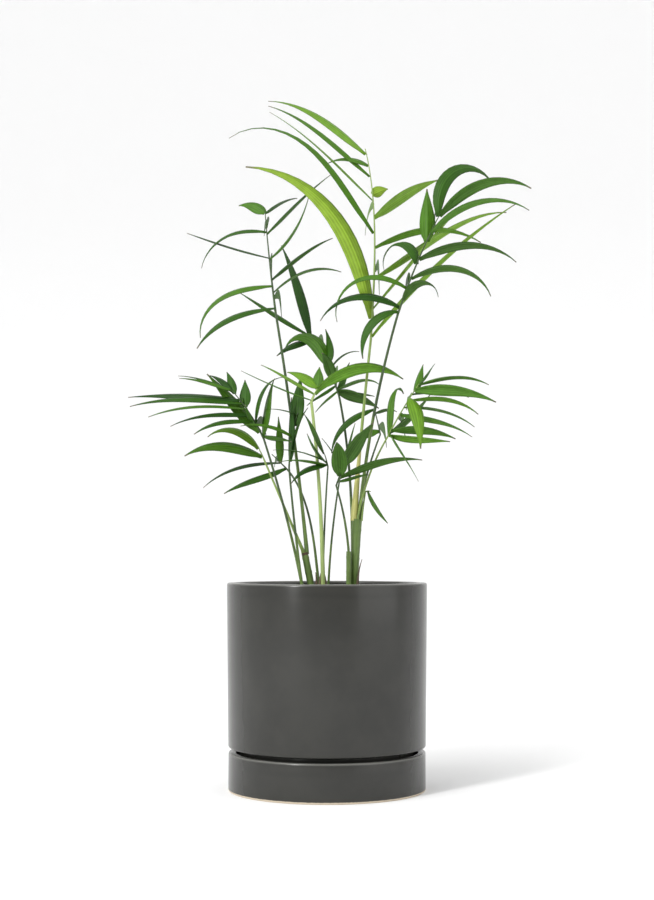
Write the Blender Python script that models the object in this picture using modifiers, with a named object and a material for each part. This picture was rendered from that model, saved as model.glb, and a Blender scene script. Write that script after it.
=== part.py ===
"""A young parlour palm in a dark ceramic cylinder pot that stands in its own saucer.

Metres, +Z up. The origin is the centre of the saucer's flat underside, and the front is -Y.
Three short canes and some single stalks rise from the soil. Each stalk carries one frond:
a rib with narrow leaflets along both sides. A stalk, a rib and a leaflet all follow the same
rule, so each is written as a heading, a slope where it starts, a slope where it ends and a length.
"""

import math
from collections import namedtuple

import bmesh
import bpy
from mathutils import Vector
from mathutils.bvhtree import BVHTree

MM = 0.001

# Pot and saucer, in millimetres
RIM_RADIUS = 67.5
SKIRT_RADIUS = 66.2
RIM_TOP = 138.0
SKIRT_BOTTOM = 28.5
WALL = 6.0
FOOT_RADIUS = 58.0
HOLE_RADIUS = 7.5
POT_FLOOR = 7.0
EDGE = 1.6
SAUCER_RADIUS = 66.0
SAUCER_TOP = 25.4
SAUCER_FLOOR = 6.0
SAUCER_WALL = 5.0
CHAMFER_WIDE = 1.0
CHAMFER_HIGH = 1.5
SOIL_TOP = 123.0
SOIL_DOME = 2.0
TURNED_STEPS = 48

# Plant, in millimetres
SEAT = 0.3
LEAF_THICK = 0.8
LEAF_STEPS = 5
CANE_STEPS = 4
LIMB_STEPS = 9
RIB_STEPS = 6
CLEAR = 0.45
LEAF_ROOT = 1.7
LEAF_TIP = 0.7
FOOT_LIFT = 0.6
RIB_GUARD = 1.0
RIB_TIP = 0.55

# Shares: how much a stalk tapers, how thick a rib starts, the last place on a rib that takes a
# leaflet, and how much of a leaflet's first step lies inside the rib
STALK_TAPER = 0.3
RIB_START = 0.35
LAST_PLACE = 0.985
SUNK_ROOT = 0.12

# The turns and lifts, in degrees, that a leaflet tries in order to pass clear of the others.
# A lift shows more than a turn does, so it counts for more.
TURNS = (0, 5, -5, 10, -10, 15, -15, 21, -21, 28, -28)
LIFTS = (0, 5, -5, 10, -10)
LIFT_COST = 1.5

Cane = namedtuple("Cane", "foot heading rise fall length base top")
Frond = namedtuple("Frond", "seat foot stalk rib thick tone leaflets")
Limb = namedtuple("Limb", "heading rise fall length bend", defaults=(1.0,))
Fan = namedtuple("Fan", "count along heading rise fall length width face bend", defaults=(1.25,))

CANES = {
    "left": Cane((-8.0, 1.0), 185, 80, 78, 35, 4.9, 4.6),
    "middle": Cane((14.6, -3.5), 0, 90, 90, 35, 3.6, 3.2),
    "right": Cane((18.4, 1.5), 0, 90, 86, 57, 4.9, 6.8),
}

FRONDS = {
    "tall": Frond(
        "right", (-2.0, 0.0), Limb(25, 85, 83, 123), Limb(120, 97, 67, 137, 2.0), 2.5, "light",
        (
            Fan(1, 0.11, 172, 80, 3, 152, 13.5, 60, 1.6),
            Fan(1, 0.54, 170, 60, -36, 140, 9, 20, 2.6),
            Fan(3, (0.71, 0.97), (160, 150), (47, 43), (32, 8), (104, 96), 8, (10, 25), 2.0),
            Fan(1, 0.9, 165, 34, -34, 34, 6, 40),
            Fan(1, 0.02, -15, 54, 30, 134, 7, 20, 0.8),
            Fan(1, 0.16, 10, 52, 46, 97, 7, 20),
            Fan(1, 0.31, 20, 35, 2, 116, 9, 30, 3.5),
            Fan(1, 0.47, 10, 33, -32, 80, 8, 30),
            Fan(1, 0.62, 40, 38, 20, 72, 10, 70),
            Fan(1, 0.74, 10, 35, 5, 12, 8, 80),
            Fan(2, (0.35, 0.68), (85, 95), (30, 20), -50, (70, 56), 7, 88),
        ),
    ),
    "right": Frond(
        "right", (1.4, 0.4), Limb(-25, 84, 72.5, 140), Limb(-25, 70, 60, 74), 2.4, "dark",
        (
            Fan(2, (0.36, 0.55), (-10, -15), (31, 28), (-72, -46), (64, 71), 8, (20, 30)),
            Fan(1, 0.8, -18, 47, -38, 75, 7, 30),
            Fan(1, 0.98, -20, 50, -36, 71, 9, 40),
            Fan(1, 0.15, -40, 62, -85, 40, 7, 20),
            Fan(1, 0.97, 30, 97, -52, 72, 10, -60),
            Fan(1, 0.72, 80, 86, 82, 37, 11, 10),
            Fan(1, 0.04, 187, 16, -100, 47, 8, 45, 0.7),
            Fan(1, 0.08, 175, 33, -62, 62, 8, 40),
            Fan(1, 0.27, 170, 40, -108, 72, 8, 30),
            Fan(1, 0.5, 125, 84, -115, 50, 10, 30),
            Fan(2, (0.3, 0.85), (75, 85), (30, 40), (-50, -40), (52, 42), 7, 85),
        ),
    ),
    "left": Frond(
        "left", (1.0, 1.0), Limb(160, 84, 80, 166), Limb(160, 82, 85, 72), 2.4, "dark",
        (
            Fan(1, 0.2, 20, 47, -16, 56, 7, 20),
            Fan(1, 0.33, 15, 46, 22, 54, 7, 20),
            Fan(1, 0.53, 25, 44, 80, 64, 7, 15),
            Fan(1, 0.78, 25, 48, 38, 68, 7, 25),
            Fan(1, 1.0, 50, 38, 10, 38, 7, 25),
            Fan(1, 0.05, 190, -4, -60, 64, 9, 30),
            Fan(1, 0.27, 178, -2, -100, 70, 8, 30, 1.8),
            Fan(1, 0.8, 170, 14, -80, 59, 7, 20),
            Fan(1, 0.54, 165, 17, 21, 64, 7, 20),
            Fan(1, 1.0, 150, 42, -10, 24, 9, 50),
            Fan(3, (0.15, 0.85), (85, 95), (25, 40), -50, (50, 36), 7, 88),
        ),
    ),
    "middle": Frond(
        "soil", (17.2, 9.0), Limb(123, 91, 70, 145, 1.8), Limb(125, 63, 40, 61), 2.2, "dark",
        (
            Fan(1, 1.0, 165, 37, 37, 63, 7, 20),
            Fan(1, 0.95, 120, 68, 48, 86, 8, 10),
            Fan(1, 0.42, 150, 72, -88, 54, 11, 60, 1.8),
            Fan(1, 0.44, 50, 74, 120, 26, 9, 10),
            Fan(1, 0.36, 20, 62, -5, 28, 5, 10),
            Fan(1, 0.08, 30, 66, 58, 22, 8, 60),
            Fan(1, 0.08, -15, 24, -55, 34, 6, 20, 2.5),
            Fan(1, 0.05, -5, -2, -15, 26, 5, 20),
            Fan(1, 0.06, -10, -12, -38, 32, 9, 50),
            Fan(2, (0.06, 0.14), (190, 200), (-36, -30), (-55, -42), (22, 26), 5, 20),
            Fan(1, 0.9, 200, -15, -42, 30, 8, 30),
            Fan(1, 0.2, -110, 55, 10, 30, 9, 0),
            Fan(2, (0.3, 0.8), (85, 80), (25, 30), (-50, -40), (50, 40), 8, 80),
        ),
    ),
    "young": Frond(
        "soil", (-2.4, -6.0), Limb(190, 89, 83, 136, 1.4), Limb(10, 72, 55, 12), 2.9, "pale",
        (
            Fan(2, (0.5, 0.8), (12, 4), (46, 42), (-44, -36), (69, 65), 9, (35, 55)),
            Fan(1, 0.1, 180, 20, 26, 52, 5, 20),
            Fan(1, 0.5, 175, 34, 22, 42, 6, 20),
            Fan(1, 0.9, 165, 44, 6, 25, 8, 50),
            Fan(1, 0.8, 75, 75, 60, 17, 8, 0),
        ),
    ),
    "outer_left": Frond(
        "soil", (-14.3, -1.5), Limb(188, 79, 72, 114), Limb(195, 65, 46, 41), 2.1, "dark",
        (
            Fan(4, (0.35, 0.7), (210, 178), (4, 10), (-36, -16), (47, 77), 7, (20, 30)),
            Fan(1, 0.77, 165, 8, -4, 81, 8, 35),
            Fan(2, (0.95, 1.0), (170, 190), (28, 22), (2, -2), (40, 36), 6, 20),
            Fan(2, (0.9, 1.0), (120, 150), (60, 48), (44, 8), (20, 22), 6, 20),
            Fan(1, 0.14, 175, 50, 44, 54, 10, 60),
            Fan(1, 0.62, 95, 74, 70, 20, 8, 10),
            Fan(1, 0.25, 230, 40, 60, 18, 7, 10),
            Fan(1, 0.32, 35, 92, 6, 44, 7, 20),
            Fan(1, 0.05, 45, 80, 60, 42, 10, 20, 3.0),
            Fan(1, 0.08, -20, -6, -22, 22, 6, 30),
            Fan(2, (0.3, 0.7), (80, 100), (20, 30), (-50, -40), (36, 30), 7, 85),
        ),
    ),
    "low_left": Frond(
        "left", (-1.3, -0.6), Limb(165, 66, 66, 66), Limb(155, 66, 60, 12), 1.9, "light",
        (
            Fan(1, 0.45, 190, 26, -34, 56, 9, 60),
            Fan(1, 0.95, 175, 58, -44, 42, 9, 30),
        ),
    ),
    "back_left": Frond(
        "soil", (-4.4, 3.5), Limb(160, 84, 50, 94, 3.0), Limb(165, 46, 42, 17), 1.9, "dark",
        (
            Fan(1, 0.2, 195, -16, -32, 46, 8, 40),
            Fan(1, 0.5, 175, 3, -44, 58, 7, 20),
            Fan(1, 0.5, 120, 88, 80, 32, 6, 10),
            Fan(1, 0.7, 95, 20, -40, 34, 7, 85),
        ),
    ),
    "inner_left": Frond(
        "soil", (-15.2, -6.0), Limb(180, 82, 85, 92), Limb(30, 86, 74, 38), 2.0, "dark",
        (
            Fan(1, 0.75, 70, 76, 66, 37, 11, 10),
            Fan(1, 0.1, 60, 86, 88, 44, 7, 10),
            Fan(1, 0.55, 185, 48, -14, 40, 6, 30, 0.6),
            Fan(1, 0.95, 180, 35, -8, 24, 4, 10, 0.6),
            Fan(1, 0.25, 5, 84, 50, 34, 5, 20),
        ),
    ),
    "front_left": Frond(
        "soil", (-3.0, -2.0), Limb(-60, 89, 82, 92), Limb(200, 78, 70, 9), 1.6, "dark",
        (
            Fan(1, 0.3, 200, 38, 58, 26, 8, 20),
            Fan(1, 1.0, 210, 60, 40, 32, 8, 20, 2.0),
            Fan(2, (0.16, 0.4), (185, 175), (14, 24), (-14, -8), (36, 40), 5, 5),
            Fan(1, 0.22, 205, -4, -55, 32, 7, 20),
        ),
    ),
    "front_middle": Frond(
        "soil", (0.5, -11.0), Limb(-60, 87, 72, 81), Limb(-70, 66, 50, 14), 1.7, "dark",
        (
            Fan(1, 0.45, -95, 54, 5, 38, 11, 0),
            Fan(1, 0.7, -150, 66, 40, 26, 6, 30),
        ),
    ),
    "front_right": Frond(
        "middle", (0.0, 0.0), Limb(-140, 84, 68, 45), Limb(-45, 66, 58, 16), 1.8, "dark",
        (
            Fan(1, 0.4, 8, 28, -10, 58, 8, 30),
            Fan(1, 1.0, -35, 56, 40, 36, 10, 40),
            Fan(1, 0.8, 20, 76, 70, 32, 7, 40),
            Fan(1, 0.2, -10, 20, 0, 22, 5, 20),
        ),
    ),
    "low_right": Frond(
        "right", (0.4, -2.2), Limb(-35, 78, 54, 60), Limb(-35, 58, 50, 42), 1.7, "light",
        (
            Fan(1, 0.07, -45, -50, -56, 42, 7, 40),
            Fan(2, (0.04, 0.12), (-25, -5), (-8, 6), (-8, -26), 44, 8, 40),
            Fan(1, 0.09, 25, 34, 50, 42, 8, 40),
            Fan(1, 0.42, -30, -4, -36, 56, 8, 30),
            Fan(2, (0.55, 0.68), (-10, 5), (2, 14), (-40, -42), 50, 6, 20),
            Fan(1, 0.88, -5, 6, -28, 55, 9, 50),
            Fan(2, (0.8, 1.0), (20, 10), (14, 24), (-20, -28), (42, 50), 6, 20),
            Fan(1, 0.02, 60, 90, -50, 48, 8, 20, 2.5),
            Fan(1, 0.73, -75, -15, -88, 44, 10.5, 0, 0.7),
            Fan(2, (0.85, 0.97), (60, 40), (58, 46), (50, 44), (24, 22), 7, 20),
            Fan(2, (0.35, 0.7), (80, 90), (10, 20), (-50, -40), (42, 36), 7, 80),
        ),
    ),
    "inner_right": Frond(
        "right", (0.1, 2.4), Limb(15, 80, 68, 60), Limb(130, 74, 68, 20), 1.7, "dark",
        (
            Fan(1, 0.95, 190, -15, -85, 46, 7, 30),
            Fan(1, 0.8, 10, 30, -30, 16, 6, 20),
            Fan(1, 0.15, 200, 5, -80, 26, 9, 50),
            Fan(1, 0.3, 80, 10, -50, 44, 7, 80),
        ),
    ),
    "stray": Frond(
        "right", (3.2, -1.6), Limb(-20, 84, 80, 18), Limb(-20, 30, -30, 4), 1.5, "light",
        (
            Fan(1, 0.5, -15, -66, -48, 26, 7, 40),
        ),
    ),
}


def between(value, share):
    """A value that is either fixed, or runs evenly from the first leaflet of a fan to the last."""
    if isinstance(value, tuple):
        return value[0] + (value[1] - value[0]) * share
    return value


def route(start, heading, rise, fall, length, steps, bend=1.0):
    """Points from start on, as the slope goes from rise to fall. Angles are in degrees, lengths in mm."""
    turn = math.radians(heading)
    points = [Vector(start)]
    for step in range(steps):
        share = (step + 0.5) / steps
        slope = math.radians(rise + (fall - rise) * share ** bend)
        flat = math.cos(slope)
        ahead = Vector((flat * math.cos(turn), flat * math.sin(turn), math.sin(slope)))
        points.append(points[-1] + ahead * (length / steps))
    return points


def limb_route(start, limb, steps):
    """The route of a stalk or a rib."""
    return route(start, limb.heading, limb.rise, limb.fall, limb.length, steps, limb.bend)


def directions(points):
    """The direction of travel at each point of a route."""
    last = len(points) - 1
    return [
        (points[min(index + 1, last)] - points[max(index - 1, 0)]).normalized()
        for index in range(last + 1)
    ]


def at_share(points, share):
    """The place on a route of even steps that lies this share of the way along it."""
    reach = share * (len(points) - 1)
    index = min(int(reach), len(points) - 2)
    return points[index].lerp(points[index + 1], reach - index)


def leaf_start(rib, along):
    """Where on its rib a leaflet is rooted."""
    return at_share(rib, min(along, LAST_PLACE))


def even_radii(first, last, steps):
    """Radii that go evenly from first to last."""
    return [first + (last - first) * step / steps for step in range(steps + 1)]


def stalk_radii(frond, steps):
    """Half the thickness of a stalk at each step."""
    return even_radii(frond.thick / 2, frond.thick / 2 * (1 - STALK_TAPER), steps)


def cane_radii(cane, steps):
    """Half the thickness of a cane at each step."""
    return even_radii(cane.base / 2, cane.top / 2, steps)


def leaf_half_width(share, width):
    """Half the width of a leaflet: a narrow root, widest before the middle, a long drawn-out tip."""
    body = math.sin(math.pi * share ** 0.72) ** 0.75
    least = LEAF_ROOT + (LEAF_TIP - LEAF_ROOT) * share
    return max(least, width * body) / 2


def leaf_edges(start, heading, rise, fall, length, width, face, bend, margin=0.0):
    """The two edges of a leaflet as a list of point pairs, and the direction that its face looks in."""
    points = route(start, heading, rise, fall, length, LEAF_STEPS, bend)
    turn = math.radians(heading)
    level = Vector((-math.sin(turn), math.cos(turn), 0))
    roll = math.radians(face)
    pairs = []
    faces = []
    for index, (point, ahead) in enumerate(zip(points, directions(points))):
        upright = ahead.cross(level)
        across = level * math.cos(roll) - upright * math.sin(roll)
        half = leaf_half_width(index / LEAF_STEPS, width) + margin
        pairs.append((point - across * half, point + across * half))
        faces.append(across.cross(ahead).normalized())
    return pairs, faces


def leaf_guard(pairs, faces):
    """A search tree of the leaflet's body with its clearance round it, without its sunk root."""
    half = LEAF_THICK / 2 + CLEAR
    corners = []
    for (first, second), face in zip(pairs, faces):
        corners += [first + face * half, second + face * half, second - face * half, first - face * half]
    corners[0:4] = [corners[side].lerp(corners[side + 4], SUNK_ROOT) for side in range(4)]
    polygons = [(3, 2, 1, 0)]
    for row in range(len(pairs) - 1):
        for side in range(4):
            other = (side + 1) % 4
            polygons.append((4 * row + side, 4 * row + other, 4 * row + 4 + other, 4 * row + 4 + side))
    end = 4 * (len(pairs) - 1)
    polygons.append((end, end + 1, end + 2, end + 3))
    return BVHTree.FromPolygons(corners, polygons)


def limb_guard(points, radii):
    """A search tree of a round limb with its clearance round it."""
    corners = []
    polygons = []
    for row, (point, ahead) in enumerate(zip(points, directions(points))):
        first = (first - ahead * first.dot(ahead)).normalized() if row else ahead.orthogonal().normalized()
        second = ahead.cross(first)
        reach = radii[row] + CLEAR
        for side in range(6):
            angle = math.tau * side / 6
            corners.append(point + (first * math.cos(angle) + second * math.sin(angle)) * reach)
        if row:
            for side in range(6):
                other = (side + 1) % 6
                polygons.append((6 * row - 6 + side, 6 * row - 6 + other, 6 * row + other, 6 * row + side))
    end = len(corners) - 6
    polygons.append(tuple(range(5, -1, -1)))
    polygons.append(tuple(range(end, end + 6)))
    return BVHTree.FromPolygons(corners, polygons)


def clear_leaf(start, values, guards):
    """The first small turn or lift of this leaflet that passes clear of the guards."""
    heading, rise, fall, length, width, face, bend = values
    trials = sorted(
        ((turn, lift) for turn in TURNS for lift in LIFTS),
        key=lambda trial: abs(trial[0]) + LIFT_COST * abs(trial[1]),
    )
    for turn, lift in trials:
        tried = (heading + turn, rise + lift, fall + lift, length, width, face, bend)
        guard = leaf_guard(*leaf_edges(start, *tried, margin=CLEAR))
        if not any(guard.overlap(other) for other in guards):
            return tried, guard
    raise ValueError(f"a leaflet with heading {heading} finds no clear place")


def plan_limbs():
    """The routes of the canes, and of each frond's stalk and rib."""
    canes = {}
    for name, cane in CANES.items():
        start = Vector((*cane.foot, SOIL_TOP + SEAT + FOOT_LIFT))
        canes[name] = route(start, cane.heading, cane.rise, cane.fall, cane.length, CANE_STEPS)
    stalks = {}
    ribs = {}
    for name, frond in FRONDS.items():
        if frond.seat == "soil":
            start = Vector((*frond.foot, SOIL_TOP + SEAT + FOOT_LIFT))
        else:
            start = canes[frond.seat][-1] + Vector((*frond.foot, SEAT))
        stalks[name] = limb_route(start, frond.stalk, LIMB_STEPS)
        joint = stalks[name][-1] + directions(stalks[name])[-1] * SEAT
        ribs[name] = limb_route(joint, frond.rib, RIB_STEPS)
    return canes, stalks, ribs


def plan_plant():
    """Works out where every cane, stalk, rib and leaflet goes, each clear of all the earlier ones."""
    canes, stalks, ribs = plan_limbs()
    limbs = [limb_guard(stalks[name], stalk_radii(frond, LIMB_STEPS)) for name, frond in FRONDS.items()]
    limbs += [limb_guard(canes[name], [cane.base / 2] * (CANE_STEPS + 1)) for name, cane in CANES.items()]
    rib_guards = {name: limb_guard(rib, [RIB_GUARD] * (RIB_STEPS + 1)) for name, rib in ribs.items()}
    plan = {}
    earlier = []
    for name, frond in FRONDS.items():
        others = limbs + [guard for other, guard in rib_guards.items() if other != name] + earlier
        leaflets = []
        for fan in frond.leaflets:
            for number in range(fan.count):
                share = number / max(fan.count - 1, 1)
                along, *values = (between(value, share) for value in fan[1:])
                placed, guard = clear_leaf(leaf_start(ribs[name], along), values, others)
                leaflets.append((along, *placed))
                earlier.append(guard)
        plan[name] = (stalks[name], ribs[name], leaflets)
    return canes, plan


def start_scene():
    """Empties the scene and makes the collection that holds the parts."""
    for obj in list(bpy.data.objects):
        bpy.data.objects.remove(obj, do_unlink=True)
    parts = bpy.data.collections.new("potted_palm")
    bpy.context.scene.collection.children.link(parts)
    return parts


def plain_material(name, color, roughness):
    """A Principled material with one colour."""
    material = bpy.data.materials.new(name)
    material.use_nodes = True
    shader = material.node_tree.nodes["Principled BSDF"]
    shader.inputs["Base Color"].default_value = (*color, 1)
    shader.inputs["Roughness"].default_value = roughness
    shader.inputs["Metallic"].default_value = 0
    return material


def turned(name, profile, closed, material, parts):
    """A solid turned round the Z axis from a profile of (radius, height) points in millimetres."""
    mesh = bpy.data.meshes.new(name)
    shape = bmesh.new()
    corners = [shape.verts.new((radius * MM, 0, height * MM)) for radius, height in profile]
    for first, second in zip(corners, corners[1:]):
        shape.edges.new((first, second))
    if closed:
        shape.edges.new((corners[-1], corners[0]))
    shape.to_mesh(mesh)
    shape.free()
    obj = bpy.data.objects.new(name, mesh)
    parts.objects.link(obj)
    screw = obj.modifiers.new("Turn", "SCREW")
    screw.steps = TURNED_STEPS
    screw.render_steps = TURNED_STEPS
    screw.use_merge_vertices = True
    screw.merge_threshold = 0.00001
    screw.use_smooth_shade = True
    obj.data.materials.append(material)
    return obj


def add_pot(parts):
    """The cylinder, a little narrower at the bottom, on a hidden foot that stands in the saucer."""
    inside = RIM_RADIUS - WALL
    foot_bottom = SAUCER_FLOOR + SEAT
    floor_top = foot_bottom + POT_FLOOR
    profile = [
        (RIM_RADIUS - EDGE, RIM_TOP),
        (RIM_RADIUS - EDGE * 0.3, RIM_TOP - EDGE * 0.3),
        (RIM_RADIUS, RIM_TOP - EDGE),
        (SKIRT_RADIUS, SKIRT_BOTTOM + EDGE),
        (SKIRT_RADIUS - EDGE * 0.3, SKIRT_BOTTOM + EDGE * 0.3),
        (SKIRT_RADIUS - EDGE, SKIRT_BOTTOM),
        (FOOT_RADIUS, SKIRT_BOTTOM),
        (FOOT_RADIUS, foot_bottom),
        (HOLE_RADIUS, foot_bottom),
        (HOLE_RADIUS, floor_top),
        (FOOT_RADIUS - WALL, floor_top),
        (FOOT_RADIUS - WALL, SKIRT_BOTTOM + WALL * 0.6),
        (inside - 0.6, SKIRT_BOTTOM + WALL * 1.6),
        (inside, RIM_TOP - EDGE),
        (inside + EDGE * 0.6, RIM_TOP - EDGE * 0.2),
    ]
    glaze = plain_material("pot_glaze", (0.071, 0.071, 0.067), 0.4)
    turned("pot", profile, True, glaze, parts)


def add_saucer(parts):
    """The deep saucer, as wide as the pot above it, with a chamfer at its flat underside."""
    inside = SAUCER_RADIUS - SAUCER_WALL
    profile = [
        (0, SAUCER_FLOOR),
        (inside - EDGE, SAUCER_FLOOR),
        (inside, SAUCER_FLOOR + EDGE),
        (inside, SAUCER_TOP - EDGE * 0.5),
        (inside + EDGE * 0.5, SAUCER_TOP),
        (SAUCER_RADIUS - EDGE * 0.8, SAUCER_TOP),
        (SAUCER_RADIUS, SAUCER_TOP - EDGE * 0.8),
        (SAUCER_RADIUS, CHAMFER_HIGH),
        (SAUCER_RADIUS - CHAMFER_WIDE, 0),
        (0, 0),
    ]
    glaze = plain_material("saucer_glaze", (0.071, 0.071, 0.067), 0.4)
    turned("saucer", profile, False, glaze, parts)


def add_soil(parts):
    """The soil, which fills the pot to a little below the rim and rises slightly to the middle."""
    floor = SAUCER_FLOOR + SEAT + POT_FLOOR + SEAT
    inside = RIM_RADIUS - WALL - 0.6 - SEAT
    profile = [
        (0, SOIL_TOP),
        (30, SOIL_TOP),
        (inside, SOIL_TOP - SOIL_DOME),
        (inside, SKIRT_BOTTOM + WALL * 1.6 + SEAT),
        (FOOT_RADIUS - WALL - SEAT, SKIRT_BOTTOM + WALL * 0.6 + SEAT),
        (FOOT_RADIUS - WALL - SEAT, floor),
        (0, floor),
    ]
    earth = plain_material("soil_earth", (0.03, 0.02, 0.013), 0.95)
    turned("soil", profile, False, earth, parts)


def limb(name, points, radii, material, parts):
    """A tapering round limb: a straight-segment curve with a six-sided bevel and filled ends."""
    curve = bpy.data.curves.new(name, "CURVE")
    curve.dimensions = "3D"
    curve.bevel_depth = MM
    curve.bevel_resolution = 1
    curve.use_fill_caps = True
    spline = curve.splines.new("POLY")
    spline.points.add(len(points) - 1)
    for knot, point, radius in zip(spline.points, points, radii):
        knot.co = (*(point * MM), 1)
        knot.radius = radius
    spline.use_smooth = True
    obj = bpy.data.objects.new(name, curve)
    parts.objects.link(obj)
    obj.data.materials.append(material)
    return obj


def as_mesh(obj, parts):
    """Turns an object into a plain mesh of what its modifiers make, with its end caps welded."""
    name = obj.name
    graph = bpy.context.evaluated_depsgraph_get()
    mesh = bpy.data.meshes.new_from_object(obj.evaluated_get(graph))
    shape = bmesh.new()
    shape.from_mesh(mesh)
    bmesh.ops.remove_doubles(shape, verts=shape.verts, dist=0.000002)
    shape.to_mesh(mesh)
    shape.free()
    world = obj.matrix_world.copy()
    bpy.data.objects.remove(obj, do_unlink=True)
    mesh.name = name
    made = bpy.data.objects.new(name, mesh)
    made.matrix_world = world
    parts.objects.link(made)
    return made


def leaf(name, start, values, collection):
    """One leaflet: a strip of quads between its two edges, made solid."""
    pairs, _ = leaf_edges(start, *values)
    mesh = bpy.data.meshes.new(name)
    shape = bmesh.new()
    rows = [[shape.verts.new(point * MM) for point in pair] for pair in pairs]
    for (first, second), (third, fourth) in zip(rows, rows[1:]):
        shape.faces.new((first, second, fourth, third))
    shape.to_mesh(mesh)
    shape.free()
    obj = bpy.data.objects.new(name, mesh)
    collection.objects.link(obj)
    solid = obj.modifiers.new("Thickness", "SOLIDIFY")
    solid.thickness = LEAF_THICK * MM
    solid.offset = 0
    return obj


def add_frond(name, frond, rib, leaflets, material, parts):
    """The rib with its leaflets, whose roots are sunk in it, joined to one solid."""
    radii = even_radii(frond.thick * RIB_START, RIB_TIP, RIB_STEPS)
    body = as_mesh(limb("frond_" + name, rib, radii, material, parts), parts)
    spare = bpy.data.collections.new("leaflets_" + name)
    bpy.context.scene.collection.children.link(spare)
    for number, (along, *values) in enumerate(leaflets):
        leaf(f"leaflet_{name}_{number}", leaf_start(rib, along), values, spare)
    join = body.modifiers.new("Join", "BOOLEAN")
    join.operation = "UNION"
    join.operand_type = "COLLECTION"
    join.collection = spare
    body = as_mesh(body, parts)
    for obj in list(spare.objects):
        bpy.data.objects.remove(obj, do_unlink=True)
    bpy.data.collections.remove(spare)
    body.data.materials.clear()
    body.data.materials.append(material)
    return body


def add_plant(parts):
    """The canes, the stalks and the fronds."""
    tones = {
        "light": plain_material("leaf_light", (0.16, 0.30, 0.035), 0.45),
        "dark": plain_material("leaf_dark", (0.045, 0.13, 0.015), 0.4),
        "pale": plain_material("leaf_pale", (0.22, 0.34, 0.08), 0.45),
    }
    sheath = plain_material("cane_sheath", (0.20, 0.26, 0.07), 0.55)
    canes, plan = plan_plant()
    for name, cane in CANES.items():
        limb("cane_" + name, canes[name], cane_radii(cane, CANE_STEPS), sheath, parts)
    for name, frond in FRONDS.items():
        stalk, rib, leaflets = plan[name]
        limb("stalk_" + name, stalk, stalk_radii(frond, LIMB_STEPS), tones[frond.tone], parts)
        add_frond(name, frond, rib, leaflets, tones[frond.tone], parts)


def main():
    parts = start_scene()
    add_pot(parts)
    add_saucer(parts)
    add_soil(parts)
    add_plant(parts)


main()
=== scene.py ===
# %% [markdown]
# # A young parlour palm in a dark ceramic pot
#
# The real object is a young clumping palm, sold in a glazed cylinder that stands in a deep saucer
# of its own. This lesson dresses a finished set of plain solids with the looks of the real thing:
# the glaze, the soil, the canes with their old sheaths, the wiry stalks and the folded leaflets.
# Shapes are in millimetres, as a grower would measure them. Materials and the studio are in metres.

import math
from collections import namedtuple

import bmesh
import bpy
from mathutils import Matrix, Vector, noise
from mathutils.bvhtree import BVHTree


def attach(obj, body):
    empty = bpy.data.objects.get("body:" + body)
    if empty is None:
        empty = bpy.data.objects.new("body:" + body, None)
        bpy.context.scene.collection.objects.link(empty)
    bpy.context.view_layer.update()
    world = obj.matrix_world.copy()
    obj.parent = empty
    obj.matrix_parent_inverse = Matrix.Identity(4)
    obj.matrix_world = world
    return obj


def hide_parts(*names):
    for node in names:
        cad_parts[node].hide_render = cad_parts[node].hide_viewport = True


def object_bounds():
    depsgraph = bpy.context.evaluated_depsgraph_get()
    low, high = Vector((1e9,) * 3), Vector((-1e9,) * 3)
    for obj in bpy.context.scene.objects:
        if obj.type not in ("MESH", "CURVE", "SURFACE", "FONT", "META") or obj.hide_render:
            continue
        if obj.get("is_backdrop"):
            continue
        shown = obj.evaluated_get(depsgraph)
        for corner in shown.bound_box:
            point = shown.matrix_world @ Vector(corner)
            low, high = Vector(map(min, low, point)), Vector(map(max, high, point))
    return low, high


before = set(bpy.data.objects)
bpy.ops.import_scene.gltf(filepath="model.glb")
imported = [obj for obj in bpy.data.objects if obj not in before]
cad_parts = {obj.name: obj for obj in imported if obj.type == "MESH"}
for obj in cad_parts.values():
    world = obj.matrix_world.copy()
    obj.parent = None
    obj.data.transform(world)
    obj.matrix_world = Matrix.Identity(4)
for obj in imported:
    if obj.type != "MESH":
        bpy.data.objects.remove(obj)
cad_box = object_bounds()
print("solids:", len(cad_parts))

MM = 0.001
ROOT = "root"

# %% [markdown]
# ## Writing shader maths as plain expressions
#
# A material is a small program made of nodes. Wiring each Math node by hand hides what it works
# out, so this class wraps one socket and lets Python's own operators add the nodes. A line such as
# `1 - mask` then reads the way it would on paper.

# %% A socket that can be calculated with
class Wire:
    """One output socket of a shader tree."""

    def __init__(self, tree, socket):
        self.tree = tree
        self.socket = socket

    def math(self, operation, *values):
        return node(self.tree, "ShaderNodeMath", {"operation": operation}, dict(enumerate(values)))

    def __add__(self, other):
        return self.math("ADD", self, other)

    def __radd__(self, other):
        return self.math("ADD", other, self)

    def __sub__(self, other):
        return self.math("SUBTRACT", self, other)

    def __rsub__(self, other):
        return self.math("SUBTRACT", other, self)

    def __mul__(self, other):
        return self.math("MULTIPLY", self, other)

    def __rmul__(self, other):
        return self.math("MULTIPLY", other, self)

    def sine(self):
        return self.math("SINE", self)

    def above(self, low, high):
        """0 below low, 1 above high and a soft step between them."""
        settings = {"interpolation_type": "SMOOTHSTEP"}
        values = {"Value": self, "From Min": low, "From Max": high}
        return node(self.tree, "ShaderNodeMapRange", settings, values)


def node(tree, kind, settings, values, output=0):
    """Adds a node, sets it up, links or fills its sockets, and returns one of its outputs."""
    made = tree.nodes.new(kind)
    for name, value in settings.items():
        setattr(made, name, value)
    for name, value in values.items():
        if isinstance(value, Wire):
            tree.links.new(value.socket, made.inputs[name])
        else:
            made.inputs[name].default_value = value
    return Wire(tree, made.outputs[output])


print("wires can be added, subtracted and multiplied")

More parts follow.
